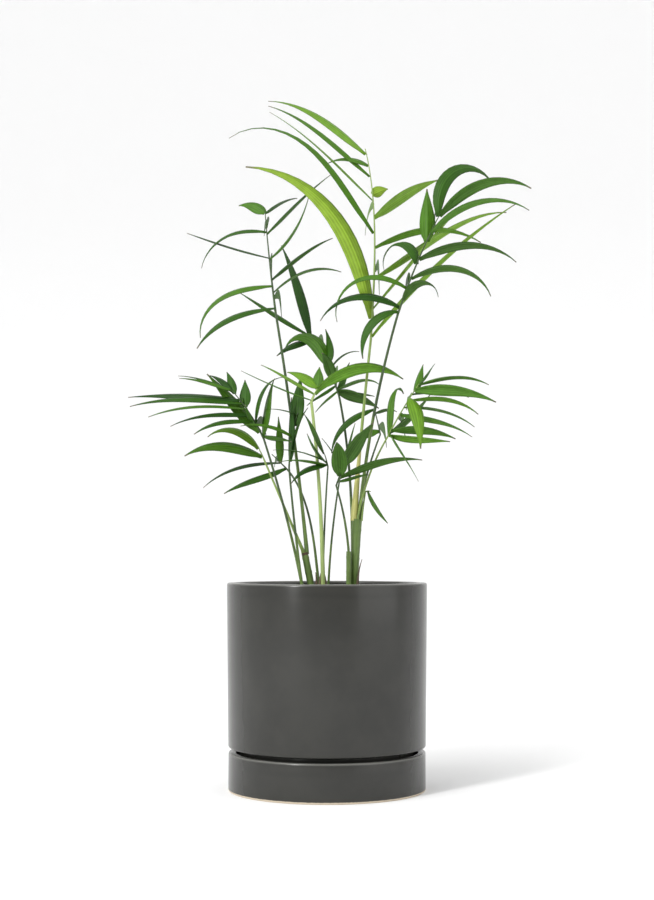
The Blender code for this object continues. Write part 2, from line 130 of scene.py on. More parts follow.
# %% [markdown]
# ## What every material starts from
#
# A finish here is built from the same few things: one Principled shader, the place of each point on
# the object, noise of a chosen size, a mix of two colours and a bump. Each gets a short helper, so
# that the materials below say only what is particular to them.

# %% Material helpers
def new_material(name, roughness=0.5):
    """A Principled material: its tree, its shader and the object coordinates in metres."""
    material = bpy.data.materials.new(name)
    material.use_nodes = True
    tree = material.node_tree
    shader = tree.nodes["Principled BSDF"]
    shader.inputs["Roughness"].default_value = roughness
    place = node(tree, "ShaderNodeTexCoord", {}, {}, output="Object")
    return material, tree, shader, place


def connect(wire, shader, name):
    """Feeds one socket of the shader."""
    wire.tree.links.new(wire.socket, shader.inputs[name])


def mix_color(factor, first, second):
    """A colour between two colours, each a tuple or a wire."""
    # A Mix node has sockets for every kind of value. 6, 7 and output 2 are the ones for colours.
    sockets = {0: factor}
    for index, color in ((6, first), (7, second)):
        sockets[index] = color if isinstance(color, Wire) else (*color, 1)
    return node(factor.tree, "ShaderNodeMix", {"data_type": "RGBA"}, sockets, output=2)


def speckle(tree, place, scale, detail=3.0, roughness=0.55):
    """Noise between about 0.3 and 0.7, with its lumps 1/scale metres across."""
    values = {"Vector": place, "Scale": scale, "Detail": detail, "Roughness": roughness}
    return node(tree, "ShaderNodeTexNoise", {}, values)


def relief(tree, height, distance, strength=1.0):
    """A bump that stands up by about the given distance in metres."""
    values = {"Height": height, "Distance": distance, "Strength": strength}
    return node(tree, "ShaderNodeBump", {}, values)


print("material helpers ready")

# %% [markdown]
# ## The glaze
#
# The pot is dipped in a charcoal glaze that dries to a satin skin. It is not quite even: it runs a
# shade darker just under the lip and leaves the foot of the saucer bare, where pale clay shows. The
# lip and the top edge of the saucer are painted lighter, partly glaze that thins there and partly a
# painted highlight of the light from above. All of that depends on height, so the masks come from
# the object's own Z, and slow noise moves their edges.

# %% Satin charcoal glaze
GLAZE = (0.030, 0.030, 0.026)
GLAZE_DEEP = (0.025, 0.025, 0.022)
# Lighter lip colour: partly glaze that thins there, partly a painted highlight of the light from above
GLAZE_THIN_AND_HIGHLIGHT = (0.17, 0.17, 0.155)
BARE_CLAY = (0.55, 0.47, 0.36)

# Noise, in lumps to the metre, and how far it moves the edges of the glaze
CLOUD_SCALE = 38
GRAIN_SCALE = 900
WANDER_SCALE = 22
WANDER = 0.006
CLAY_WANDER = 0.0006
CLAY_EDGE = 0.0004

# Depths under the lip: the lower edge, the middle and the upper edge of the darker band, and the
# two edges of the lighter lip, which is partly thin glaze and partly a painted highlight
BAND = (0.0105, 0.0075, 0.004)
THIN_AND_LIT_LIP = (0.0016, 0.0002)
BAND_STRENGTH = 0.65

GLAZE_ROUGH = 0.2
CLOUD_ROUGHER = 0.06
CLAY_ROUGHER = 0.4
GLAZE_SPECULAR = 0.4
GLAZE_RELIEF = 0.0005


def glaze_material(name, lip, bare_below):
    """Charcoal glaze: lip is the height of the rim, and bare_below is where the glaze ends."""
    material, tree, shader, place = new_material(name)
    height = node(tree, "ShaderNodeSeparateXYZ", {}, {"Vector": place}, output="Z")
    cloud = speckle(tree, place, CLOUD_SCALE)
    grain = speckle(tree, place, GRAIN_SCALE, detail=2.0)
    moved = height + (speckle(tree, place, WANDER_SCALE) - 0.5) * WANDER
    color = mix_color(cloud.above(0.35, 0.7), GLAZE, GLAZE_DEEP)
    low, full, high = (lip - depth for depth in BAND)
    band = moved.above(low, full) * (1 - moved.above(full, high))
    color = mix_color(band * BAND_STRENGTH, color, GLAZE_DEEP)
    # The lip painted lighter: partly thin glaze, partly a painted highlight
    thin = height.above(lip - THIN_AND_LIT_LIP[0], lip - THIN_AND_LIT_LIP[1]) * (0.45 + 0.5 * cloud)
    color = mix_color(thin, color, GLAZE_THIN_AND_HIGHLIGHT)
    bare = 1 - (height + (grain - 0.5) * CLAY_WANDER).above(bare_below, bare_below + CLAY_EDGE)
    connect(mix_color(bare, color, BARE_CLAY), shader, "Base Color")
    connect(GLAZE_ROUGH + CLOUD_ROUGHER * cloud + CLAY_ROUGHER * bare, shader, "Roughness")
    shader.inputs["Specular IOR Level"].default_value = GLAZE_SPECULAR
    connect(relief(tree, cloud * 0.3 + grain * 0.06, GLAZE_RELIEF, 0.3), shader, "Normal")
    return material


print("glaze colours:", GLAZE, GLAZE_DEEP)

# %% [markdown]
# ## Turned shapes
#
# A thrown pot is a shape of revolution, so it is made the way a wheel makes it: an outline of radius
# and height pairs, spun in even steps. Rounding every corner of the outline first gives the lip and
# the foot the soft edge that glaze leaves.

# %% Rounding an outline
CORNER_STEPS = 4
CORNER_PART = 0.45


def rounded(outline, radius, closed=True):
    """The outline with each corner replaced by a small curve of about this radius."""
    count = len(outline)
    made = []
    for index, corner in enumerate(outline):
        here = Vector(corner)
        if not closed and index in (0, count - 1):
            made.append(here)
            continue
        before = Vector(outline[index - 1]) - here
        after = Vector(outline[(index + 1) % count]) - here
        reach = min(radius, before.length * CORNER_PART, after.length * CORNER_PART)
        start = here + before.normalized() * reach
        end = here + after.normalized() * reach
        for step in range(CORNER_STEPS + 1):
            share = step / CORNER_STEPS
            made.append(start.lerp(here, share).lerp(here.lerp(end, share), share))
    return made


square = [(0, 0), (1, 0), (1, 1), (0, 1)]
print("a square has", len(rounded(square, 0.1)), "points once rounded")

# %% [markdown]
# The pot, the saucer and the soil are all stacks of rings round one axis. Two functions serve them
# all: one sets out the spots of a ring, and the other lays faces from each ring to the next.

# %% Skinning a stack of rings
NO_RADIUS = 1e-6


def new_object(name, data):
    """An object at the origin, linked into the scene."""
    obj = bpy.data.objects.new(name, data)
    bpy.context.scene.collection.objects.link(obj)
    return obj


def finish_piece(mesh, name, material):
    """An object for this mesh, with its material, smooth all over."""
    mesh.materials.append(material)
    mesh.shade_smooth()
    return new_object(name, mesh)


def ring_spots(radius, height, steps):
    """Spots round the Z axis in millimetres, or a single one where there is no radius."""
    if radius < NO_RADIUS:
        return [(0.0, 0.0, height)]
    angles = [math.tau * step / steps for step in range(steps)]
    return [(radius * math.cos(angle), radius * math.sin(angle), height) for angle in angles]


def skin_rings(name, rings, steps, material, closed):
    """A smooth piece with faces from each ring to the next, and back to the first if closed."""
    shape = bmesh.new()
    rows = [[shape.verts.new((x * MM, y * MM, z * MM)) for x, y, z in ring] for ring in rings]
    if closed:
        rows.append(rows[0])
    for first, second in zip(rows, rows[1:]):
        for step in range(steps):
            after = (step + 1) % steps
            corners = [first[step % len(first)], first[after % len(first)]]
            corners += [second[after % len(second)], second[step % len(second)]]
            corners = list(dict.fromkeys(corners))
            if len(corners) > 2:
                shape.faces.new(corners)
    bmesh.ops.recalc_face_normals(shape, faces=shape.faces)
    mesh = bpy.data.meshes.new(name)
    shape.to_mesh(mesh)
    shape.free()
    print(name, len(mesh.polygons), "faces")
    return finish_piece(mesh, name, material)


print("a ring of four:", [tuple(round(edge) for edge in spot) for spot in ring_spots(1, 0, 4)])

# %% [markdown]
# ## The pot and its saucer
#
# The cylinder is hardly narrower at the bottom than at the lip. It sits on a hidden foot inside the
# saucer, which is as wide as the pot, so only a dark line shows between the two. Both outlines use
# the same named sizes as the solids that they stand for.

# %% Sizes of the pot and the saucer
RIM_RADIUS = 67.5
SKIRT_RADIUS = 66.2
RIM_TOP = 138.0
SKIRT_BOTTOM = 28.5
WALL = 6.0
FOOT_RADIUS = 58.0
HOLE_RADIUS = 7.5
POT_FLOOR = 7.0
SAUCER_RADIUS = 66.0
SAUCER_TOP = 25.4
SAUCER_FLOOR = 6.0
SAUCER_WALL = 5.0
SOIL_TOP = 123.0
SOIL_DOME = 2.0
SEAT = 0.3
DRAFT = 0.6

inside = RIM_RADIUS - WALL
inside_foot = FOOT_RADIUS - WALL
foot_bottom = SAUCER_FLOOR + SEAT
basin = SAUCER_RADIUS - SAUCER_WALL
print("pot", 2 * RIM_RADIUS, "mm wide and", RIM_TOP, "mm high")

# %% [markdown]
# The foot's wall steps out to the skirt's wall a little above the skirt's edge. The saucer's outline
# starts and ends on the axis, so it is left open there.

# %% Pot and saucer
TURN_STEPS = 160
LIP_ROUND = 1.7
EDGE_ROUND = 1.2
STEP_LOW = WALL * 0.6
STEP_HIGH = WALL * 1.6
CLAY_SHOWS = 0.0011

pot_outline = [
    (inside, RIM_TOP), (RIM_RADIUS, RIM_TOP), (SKIRT_RADIUS, SKIRT_BOTTOM),
    (FOOT_RADIUS, SKIRT_BOTTOM), (FOOT_RADIUS, foot_bottom), (HOLE_RADIUS, foot_bottom),
    (HOLE_RADIUS, foot_bottom + POT_FLOOR), (inside_foot, foot_bottom + POT_FLOOR),
    (inside_foot, SKIRT_BOTTOM + STEP_LOW), (inside - DRAFT, SKIRT_BOTTOM + STEP_HIGH),
]
saucer_outline = [
    (0, SAUCER_FLOOR), (basin, SAUCER_FLOOR), (basin, SAUCER_TOP), (SAUCER_RADIUS, SAUCER_TOP),
    (SAUCER_RADIUS, 0), (0, 0),
]


def turn_outline(name, outline, corner, material, closed):
    """A piece turned round the Z axis from an outline whose corners are rounded first."""
    rings = [ring_spots(radius, height, TURN_STEPS) for radius, height in rounded(outline, corner, closed)]
    return skin_rings(name, rings, TURN_STEPS, material, closed)


pot_glaze = glaze_material("pot_glaze", RIM_TOP * MM, 0.0)
pot = turn_outline("pot_body", pot_outline, LIP_ROUND, pot_glaze, closed=True)
saucer_glaze = glaze_material("saucer_glaze", SAUCER_TOP * MM, CLAY_SHOWS)
saucer = turn_outline("saucer_dish", saucer_outline, EDGE_ROUND, saucer_glaze, closed=False)

for piece, cad_node, slot in ((pot, "pot", "pot_glaze"), (saucer, "saucer", "saucer_glaze")):
    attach(piece, ROOT)
    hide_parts(cad_node)

# %% [markdown]
# ## The soil
#
# Potting mix is dark, crumbly peat. It lies a little below the lip, and it is seen as soon as the
# pot is looked into. The bed is a disc whose surface is pushed up and down by noise, because a
# level face would look poured.

# %% The soil's material
PEAT_DARK = (0.014, 0.009, 0.006)
PEAT_LIGHT = (0.075, 0.048, 0.028)
PEAT_ROUGH = 0.95
PEAT_SCALE = 520
PEAT_RELIEF = 0.0012

peat, tree, shader, place = new_material("potting_soil", PEAT_ROUGH)
peat_crumb = speckle(tree, place, PEAT_SCALE, detail=6.0, roughness=0.7)
connect(mix_color(peat_crumb.above(0.4, 0.72), PEAT_DARK, PEAT_LIGHT), shader, "Base Color")
connect(relief(tree, peat_crumb, PEAT_RELIEF), shader, "Normal")
print("soil material:", peat.name)

# %% [markdown]
# The bed is as wide as the pot allows down to its side's height, and then narrows to its shoulder,
# which lies inside the foot.

# %% The soil bed
BED_RINGS = 40
BED_STEPS = 120
LUMP = 1.1
LUMP_PITCH = 0.11
LUMP_LAYER = 3.0
CLOD_PITCH = 0.35
CLOD_LAYER = 9.0
CLOD_PART = 0.6
CALM_EDGE = 0.6
SUNK = 0.6
BED_SIDE = 60.0
BED_SHOULDER = SKIRT_BOTTOM + 3.0


def soil_height(x, y):
    """Height of the soil at a place, in millimetres: a low dome with lumps that calm at the edge."""
    reach = math.hypot(x, y) / inside
    lumps = noise.noise(Vector((x * LUMP_PITCH, y * LUMP_PITCH, LUMP_LAYER)))
    clods = noise.noise(Vector((x * CLOD_PITCH, y * CLOD_PITCH, CLOD_LAYER)))
    lumps = lumps + CLOD_PART * clods
    return SOIL_TOP - SOIL_DOME * reach ** 2 + LUMP * lumps * (1 - CALM_EDGE * reach) - SUNK


bed_edge = inside - DRAFT - SEAT
bed_rings = []
for ring in range(BED_RINGS + 1):
    spots = ring_spots(bed_edge * ring / BED_RINGS, 0.0, BED_STEPS)
    bed_rings.append([(x, y, soil_height(x, y)) for x, y, level in spots])
for radius, height in ((bed_edge, BED_SIDE), (inside_foot - SEAT, BED_SHOULDER), (0, SKIRT_BOTTOM)):
    bed_rings.append(ring_spots(radius, height, BED_STEPS))
soil = skin_rings("soil_bed", bed_rings, BED_STEPS, peat, closed=False)
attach(soil, ROOT)
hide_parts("soil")

# %% [markdown]
# ## Helpers for Geometry Nodes
#
# The crumbs, the canes and stalks, and the leaflets all repeat, so Geometry Nodes make them. Each
# tree is written out in the script with named inputs. This class adds a node in one line.

# %% Building a geometry tree
class Tree:
    """A geometry node tree with named inputs."""

    def __init__(self, name, inputs):
        self.group = bpy.data.node_groups.new(name, "GeometryNodeTree")
        sockets = {"Geometry": ("NodeSocketGeometry", None), **inputs}
        for label, (kind, default) in sockets.items():
            made = self.group.interface.new_socket(label, in_out="INPUT", socket_type=kind)
            if default is not None:
                made.default_value = default
        self.group.interface.new_socket("Geometry", in_out="OUTPUT", socket_type="NodeSocketGeometry")
        self.start = self.group.nodes.new("NodeGroupInput")
        self.end = self.group.nodes.new("NodeGroupOutput")

    def given(self, label):
        return self.start.outputs[label]

    def add(self, kind, settings=None, values=None):
        """Adds a node with its settings, then links or fills its sockets."""
        made = self.group.nodes.new(kind)
        for name, value in (settings or {}).items():
            setattr(made, name, value)
        for name, value in (values or {}).items():
            if isinstance(value, bpy.types.NodeSocket):
                self.group.links.new(value, made.inputs[name])
            elif isinstance(value, bpy.types.Node):
                self.group.links.new(value.outputs[0], made.inputs[name])
            else:
                made.inputs[name].default_value = value
        return made

    def named(self, label, kind="FLOAT"):
        """The socket that reads a named attribute."""
        made = self.add("GeometryNodeInputNamedAttribute", {"data_type": kind}, {"Name": label})
        return made.outputs["Attribute"]

    def close(self, geometry, material):
        """Ends the tree: instances made real, then the material set."""
        real = self.add("GeometryNodeRealizeInstances", {}, {"Geometry": geometry})
        painted = self.add("GeometryNodeSetMaterial", {}, {"Geometry": real, "Material": material})
        self.group.links.new(painted.outputs[0], self.end.inputs[0])


print("geometry trees ready")

# %% [markdown]
# A tree runs as a modifier. Its inputs are set by their identifiers before it is first evaluated,
# and its result is kept as a plain mesh, so that nothing is left to be worked out later.

# %% Running a geometry tree
def plain_mesh(obj):
    """The mesh of an object with its modifiers worked out."""
    graph = bpy.context.evaluated_depsgraph_get()
    return bpy.data.meshes.new_from_object(obj.evaluated_get(graph))


def run_tree(obj, tree, values, name):
    """Runs the tree on obj and returns its result as a plain mesh object, with obj removed."""
    modifier = obj.modifiers.new("Shape", "NODES")
    modifier.node_group = tree.group
    items = tree.group.interface.items_tree
    sockets = {item.name: item.identifier for item in items if item.in_out == "INPUT"}
    for label, value in values.items():
        modifier[sockets[label]] = value
    mesh = plain_mesh(obj)
    mesh.name = name
    bpy.data.objects.remove(obj, do_unlink=True)
    return new_object(name, mesh)


print("geometry trees can be run")

# %% [markdown]
# ## Crumbs
#
# Loose crumbs of peat lie on the bed. They are scattered: points spread over the surface with a
# fixed seed, each with a small lump on it that is squeezed, turned and sized at random.

# %% Crumbs on the soil
CRUMB_SIZE = 0.95
CRUMB_SEED = 7
CRUMBS_PER_SQUARE_METRE = 110000.0
SQUEEZE_LEAST = (0.45, 0.4, 0.3)
SQUEEZE_MOST = (1.5, 1.2, 0.9)
SHOWN_SLOPE = 0.5
SHOWN_HEIGHT = 0.1


def crumb_tree():
    tree = Tree("scatter_crumbs", {
        "Density": ("NodeSocketFloat", CRUMBS_PER_SQUARE_METRE),
        "Size": ("NodeSocketFloat", CRUMB_SIZE * MM),
        "Seed": ("NodeSocketInt", CRUMB_SEED),
        "Finish": ("NodeSocketMaterial", None),
    })
    spread = tree.add(
        "GeometryNodeDistributePointsOnFaces", {"distribute_method": "RANDOM"},
        {"Mesh": tree.given("Geometry"), "Density": tree.given("Density"), "Seed": tree.given("Seed")},
    )
    lump = tree.add("GeometryNodeMeshIcoSphere", {}, {"Radius": 1.0, "Subdivisions": 1})
    vectors = {"data_type": "FLOAT_VECTOR"}
    squeeze = {"Min": SQUEEZE_LEAST, "Max": SQUEEZE_MOST, "Seed": 3}
    squeeze = tree.add("FunctionNodeRandomValue", vectors, squeeze)
    size = {0: squeeze.outputs[0], "Scale": tree.given("Size")}
    size = tree.add("ShaderNodeVectorMath", {"operation": "SCALE"}, size)
    turn = {"Min": (0, 0, 0), "Max": (math.tau,) * 3, "Seed": 5}
    turn = tree.add("FunctionNodeRandomValue", vectors, turn)
    placed = tree.add("GeometryNodeInstanceOnPoints", {}, {
        "Points": spread.outputs["Points"], "Instance": lump.outputs["Mesh"],
        "Rotation": turn.outputs[0], "Scale": size.outputs[0],
    })
    tree.close(placed.outputs[0], tree.given("Finish"))
    return tree


def soil_skin():
    """A copy of the part of the bed that shows, for the scatter."""
    shape = bmesh.new()
    shape.from_mesh(soil.data)
    hidden = [
        face for face in shape.faces
        if face.normal.z < SHOWN_SLOPE or face.calc_center_median().z < SHOWN_HEIGHT
    ]
    bmesh.ops.delete(shape, geom=hidden, context="FACES")
    mesh = bpy.data.meshes.new("soil_skin")
    shape.to_mesh(mesh)
    shape.free()
    return new_object("soil_skin", mesh)


crumb_inputs = {
    "Density": CRUMBS_PER_SQUARE_METRE, "Size": CRUMB_SIZE * MM, "Seed": CRUMB_SEED, "Finish": peat,
}
crumbs = run_tree(soil_skin(), crumb_tree(), crumb_inputs, "soil_crumbs")
crumbs.data.shade_smooth()
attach(crumbs, ROOT)
print("crumbs", len(crumbs.data.polygons), "faces")

# %% [markdown]
# ## The plan of the plant
#
# A stalk, a rib and a leaflet all grow by the same rule: set off in one direction at one slope, and
# end at another slope. So each is written as a heading, the slope where it starts, the slope where
# it ends and its length. A heading of 0 points to the right, 90 to the back and 180 to the left.
# The canes are the short true stems, and every frond stands on one of them or in the soil.

# %% The plan of the canes
Cane = namedtuple("Cane", "foot heading rise fall length base top")
Frond = namedtuple("Frond", "seat foot stalk rib thick tone leaflets")
Limb = namedtuple("Limb", "heading rise fall length bend", defaults=(1.0,))
Fan = namedtuple("Fan", "count along heading rise fall length width face bend", defaults=(1.25,))

CANES = {
    "left": Cane((-8.0, 1.0), 185, 80, 78, 35, 4.9, 4.6),
    "middle": Cane((14.6, -3.5), 0, 90, 90, 35, 3.6, 3.2),
    "right": Cane((18.4, 1.5), 0, 90, 86, 57, 4.9, 6.8),
}
print(len(CANES), "canes")

# %% [markdown]
# Leaflets are written as fans. A fan has its number of leaflets, their place along the rib, their
# growth and width, how far each blade is rolled towards the viewer, and how late it bends. A pair of
# numbers runs from the first leaflet to the last. The fronds are planned in this order, and the five
# tall ones of the crown come first.

# %% The five tall fronds
FRONDS = {
    "tall": Frond("right", (-2.0, 0.0), Limb(25, 85, 83, 123), Limb(120, 97, 67, 137, 2.0), 2.5, "light", (
        Fan(1, 0.11, 172, 80, 3, 152, 13.5, 60, 1.6),
        Fan(1, 0.54, 170, 60, -36, 140, 9, 20, 2.6),
        Fan(3, (0.71, 0.97), (160, 150), (47, 43), (32, 8), (104, 96), 8, (10, 25), 2.0),
        Fan(1, 0.9, 165, 34, -34, 34, 6, 40),
        Fan(1, 0.02, -15, 54, 30, 134, 7, 20, 0.8),
        Fan(1, 0.16, 10, 52, 46, 97, 7, 20),
        Fan(1, 0.31, 20, 35, 2, 116, 9, 30, 3.5),
        Fan(1, 0.47, 10, 33, -32, 80, 8, 30),
        Fan(1, 0.62, 40, 38, 20, 72, 10, 70),
        Fan(1, 0.74, 10, 35, 5, 12, 8, 80),
        Fan(2, (0.35, 0.68), (85, 95), (30, 20), -50, (70, 56), 7, 88),
    )),
    "right": Frond("right", (1.4, 0.4), Limb(-25, 84, 72.5, 140), Limb(-25, 70, 60, 74), 2.4, "dark", (
        Fan(2, (0.36, 0.55), (-10, -15), (31, 28), (-72, -46), (64, 71), 8, (20, 30)),
        Fan(1, 0.8, -18, 47, -38, 75, 7, 30),
        Fan(1, 0.98, -20, 50, -36, 71, 9, 40),
        Fan(1, 0.15, -40, 62, -85, 40, 7, 20),
        Fan(1, 0.97, 30, 97, -52, 72, 10, -60),
        Fan(1, 0.72, 80, 86, 82, 37, 11, 10),
        Fan(1, 0.04, 187, 16, -100, 47, 8, 45, 0.7),
        Fan(1, 0.08, 175, 33, -62, 62, 8, 40),
        Fan(1, 0.27, 170, 40, -108, 72, 8, 30),
        Fan(1, 0.5, 125, 84, -115, 50, 10, 30),
        Fan(2, (0.3, 0.85), (75, 85), (30, 40), (-50, -40), (52, 42), 7, 85),
    )),
    "left": Frond("left", (1.0, 1.0), Limb(160, 84, 80, 166), Limb(160, 82, 85, 72), 2.4, "dark", (
        Fan(1, 0.2, 20, 47, -16, 56, 7, 20),
        Fan(1, 0.33, 15, 46, 22, 54, 7, 20),
        Fan(1, 0.53, 25, 44, 80, 64, 7, 15),
        Fan(1, 0.78, 25, 48, 38, 68, 7, 25),
        Fan(1, 1.0, 50, 38, 10, 38, 7, 25),
        Fan(1, 0.05, 190, -4, -60, 64, 9, 30),
        Fan(1, 0.27, 178, -2, -100, 70, 8, 30, 1.8),
        Fan(1, 0.8, 170, 14, -80, 59, 7, 20),
        Fan(1, 0.54, 165, 17, 21, 64, 7, 20),
        Fan(1, 1.0, 150, 42, -10, 24, 9, 50),
        Fan(3, (0.15, 0.85), (85, 95), (25, 40), -50, (50, 36), 7, 88),
    )),
    "middle": Frond("soil", (17.2, 9.0), Limb(123, 91, 70, 145, 1.8), Limb(125, 63, 40, 61), 2.2, "dark", (
        Fan(1, 1.0, 165, 37, 37, 63, 7, 20),
        Fan(1, 0.95, 120, 68, 48, 86, 8, 10),
        Fan(1, 0.42, 150, 72, -88, 54, 11, 60, 1.8),
        Fan(1, 0.44, 50, 74, 120, 26, 9, 10),
        Fan(1, 0.36, 20, 62, -5, 28, 5, 10),
        Fan(1, 0.08, 30, 66, 58, 22, 8, 60),
        Fan(1, 0.08, -15, 24, -55, 34, 6, 20, 2.5),
        Fan(1, 0.05, -5, -2, -15, 26, 5, 20),
        Fan(1, 0.06, -10, -12, -38, 32, 9, 50),
        Fan(2, (0.06, 0.14), (190, 200), (-36, -30), (-55, -42), (22, 26), 5, 20),
        Fan(1, 0.9, 200, -15, -42, 30, 8, 30),
        Fan(1, 0.2, -110, 55, 10, 30, 9, 0),
        Fan(2, (0.3, 0.8), (85, 80), (25, 30), (-50, -40), (50, 40), 8, 80),
    )),
    "young": Frond("soil", (-2.4, -6.0), Limb(190, 89, 83, 136, 1.4), Limb(10, 72, 55, 12), 2.9, "pale", (
        Fan(2, (0.5, 0.8), (12, 4), (46, 42), (-44, -36), (69, 65), 9, (35, 55)),
        Fan(1, 0.1, 180, 20, 26, 52, 5, 20),
        Fan(1, 0.5, 175, 34, 22, 42, 6, 20),
        Fan(1, 0.9, 165, 44, 6, 25, 8, 50),
        Fan(1, 0.8, 75, 75, 60, 17, 8, 0),
    )),
}
print(len(FRONDS), "fronds so far")

# %% [markdown]
# Round the foot of the tall fronds stand younger, shorter ones. They were planned after the crown, so
# they give way to it. These are the ones to the left of the middle.

# %% Low fronds on the left
FRONDS.update({
    "outer_left": Frond("soil", (-14.3, -1.5), Limb(188, 79, 72, 114), Limb(195, 65, 46, 41), 2.1, "dark", (
        Fan(4, (0.35, 0.7), (210, 178), (4, 10), (-36, -16), (47, 77), 7, (20, 30)),
        Fan(1, 0.77, 165, 8, -4, 81, 8, 35),
        Fan(2, (0.95, 1.0), (170, 190), (28, 22), (2, -2), (40, 36), 6, 20),
        Fan(2, (0.9, 1.0), (120, 150), (60, 48), (44, 8), (20, 22), 6, 20),
        Fan(1, 0.14, 175, 50, 44, 54, 10, 60),
        Fan(1, 0.62, 95, 74, 70, 20, 8, 10),
        Fan(1, 0.25, 230, 40, 60, 18, 7, 10),
        Fan(1, 0.32, 35, 92, 6, 44, 7, 20),
        Fan(1, 0.05, 45, 80, 60, 42, 10, 20, 3.0),
        Fan(1, 0.08, -20, -6, -22, 22, 6, 30),
        Fan(2, (0.3, 0.7), (80, 100), (20, 30), (-50, -40), (36, 30), 7, 85),
    )),
    "low_left": Frond("left", (-1.3, -0.6), Limb(165, 66, 66, 66), Limb(155, 66, 60, 12), 1.9, "light", (
        Fan(1, 0.45, 190, 26, -34, 56, 9, 60),
        Fan(1, 0.95, 175, 58, -44, 42, 9, 30),
    )),
    "back_left": Frond("soil", (-4.4, 3.5), Limb(160, 84, 50, 94, 3.0), Limb(165, 46, 42, 17), 1.9, "dark", (
        Fan(1, 0.2, 195, -16, -32, 46, 8, 40),
        Fan(1, 0.5, 175, 3, -44, 58, 7, 20),
        Fan(1, 0.5, 120, 88, 80, 32, 6, 10),
        Fan(1, 0.7, 95, 20, -40, 34, 7, 85),
    )),
    "inner_left": Frond("soil", (-15.2, -6.0), Limb(180, 82, 85, 92), Limb(30, 86, 74, 38), 2.0, "dark", (
        Fan(1, 0.75, 70, 76, 66, 37, 11, 10),
        Fan(1, 0.1, 60, 86, 88, 44, 7, 10),
        Fan(1, 0.55, 185, 48, -14, 40, 6, 30, 0.6),
        Fan(1, 0.95, 180, 35, -8, 24, 4, 10, 0.6),
        Fan(1, 0.25, 5, 84, 50, 34, 5, 20),
    )),
    "front_left": Frond("soil", (-3.0, -2.0), Limb(-60, 89, 82, 92), Limb(200, 78, 70, 9), 1.6, "dark", (
        Fan(1, 0.3, 200, 38, 58, 26, 8, 20),
        Fan(1, 1.0, 210, 60, 40, 32, 8, 20, 2.0),
        Fan(2, (0.16, 0.4), (185, 175), (14, 24), (-14, -8), (36, 40), 5, 5),
        Fan(1, 0.22, 205, -4, -55, 32, 7, 20),
    )),
})
print(len(FRONDS), "fronds so far")

# %% [markdown]
# In the middle and on the right the low fronds lean over the rim of the pot, and one stray leaflet
# hangs down.

# %% Low fronds on the right
FRONDS.update({
    "front_middle": Frond("soil", (0.5, -11.0), Limb(-60, 87, 72, 81), Limb(-70, 66, 50, 14), 1.7, "dark", (
        Fan(1, 0.45, -95, 54, 5, 38, 11, 0),
        Fan(1, 0.7, -150, 66, 40, 26, 6, 30),
    )),
    "front_right": Frond("middle", (0.0, 0.0), Limb(-140, 84, 68, 45), Limb(-45, 66, 58, 16), 1.8, "dark", (
        Fan(1, 0.4, 8, 28, -10, 58, 8, 30),
        Fan(1, 1.0, -35, 56, 40, 36, 10, 40),
        Fan(1, 0.8, 20, 76, 70, 32, 7, 40),
        Fan(1, 0.2, -10, 20, 0, 22, 5, 20),
    )),
    "low_right": Frond("right", (0.4, -2.2), Limb(-35, 78, 54, 60), Limb(-35, 58, 50, 42), 1.7, "light", (
        Fan(1, 0.07, -45, -50, -56, 42, 7, 40),
        Fan(2, (0.04, 0.12), (-25, -5), (-8, 6), (-8, -26), 44, 8, 40),
        Fan(1, 0.09, 25, 34, 50, 42, 8, 40),
        Fan(1, 0.42, -30, -4, -36, 56, 8, 30),
        Fan(2, (0.55, 0.68), (-10, 5), (2, 14), (-40, -42), 50, 6, 20),
        Fan(1, 0.88, -5, 6, -28, 55, 9, 50),
        Fan(2, (0.8, 1.0), (20, 10), (14, 24), (-20, -28), (42, 50), 6, 20),
        Fan(1, 0.02, 60, 90, -50, 48, 8, 20, 2.5),
        Fan(1, 0.73, -75, -15, -88, 44, 10.5, 0, 0.7),
        Fan(2, (0.85, 0.97), (60, 40), (58, 46), (50, 44), (24, 22), 7, 20),
        Fan(2, (0.35, 0.7), (80, 90), (10, 20), (-50, -40), (42, 36), 7, 80),
    )),
    "inner_right": Frond("right", (0.1, 2.4), Limb(15, 80, 68, 60), Limb(130, 74, 68, 20), 1.7, "dark", (
        Fan(1, 0.95, 190, -15, -85, 46, 7, 30),
        Fan(1, 0.8, 10, 30, -30, 16, 6, 20),
        Fan(1, 0.15, 200, 5, -80, 26, 9, 50),
        Fan(1, 0.3, 80, 10, -50, 44, 7, 80),
    )),
    "stray": Frond("right", (3.2, -1.6), Limb(-20, 84, 80, 18), Limb(-20, 30, -30, 4), 1.5, "light", (
        Fan(1, 0.5, -15, -66, -48, 26, 7, 40),
    )),
})
leaflet_count = sum(fan.count for frond in FRONDS.values() for fan in frond.leaflets)
print(len(FRONDS), "fronds with", leaflet_count, "leaflets planned")

# %% [markdown]
# ## Growing the plan
#
# Leaflets of neighbouring fronds would cut through one another if each only followed its own
# numbers. The solids were placed by a rule that tries small turns and lifts until a leaflet passes
# clear of the others. The same rule runs here, so the fine leaflets land where the solids are. It
# starts with the route, the line that every limb grows along.

# %% Following a route
LAST_PLACE = 0.985


def between(value, share):
    """A value that is either fixed, or runs evenly from the first leaflet of a fan to the last."""
    if isinstance(value, tuple):
        return value[0] + (value[1] - value[0]) * share
    return value


def route(start, heading, rise, fall, length, steps, bend=1.0):
    """Points from start on, as the slope goes from rise to fall. Angles in degrees, lengths in mm."""
    turn = math.radians(heading)
    points = [Vector(start)]
    for step in range(steps):
        share = (step + 0.5) / steps
        slope = math.radians(rise + (fall - rise) * share ** bend)
        flat = math.cos(slope)
        ahead = Vector((flat * math.cos(turn), flat * math.sin(turn), math.sin(slope)))
        points.append(points[-1] + ahead * (length / steps))
    return points


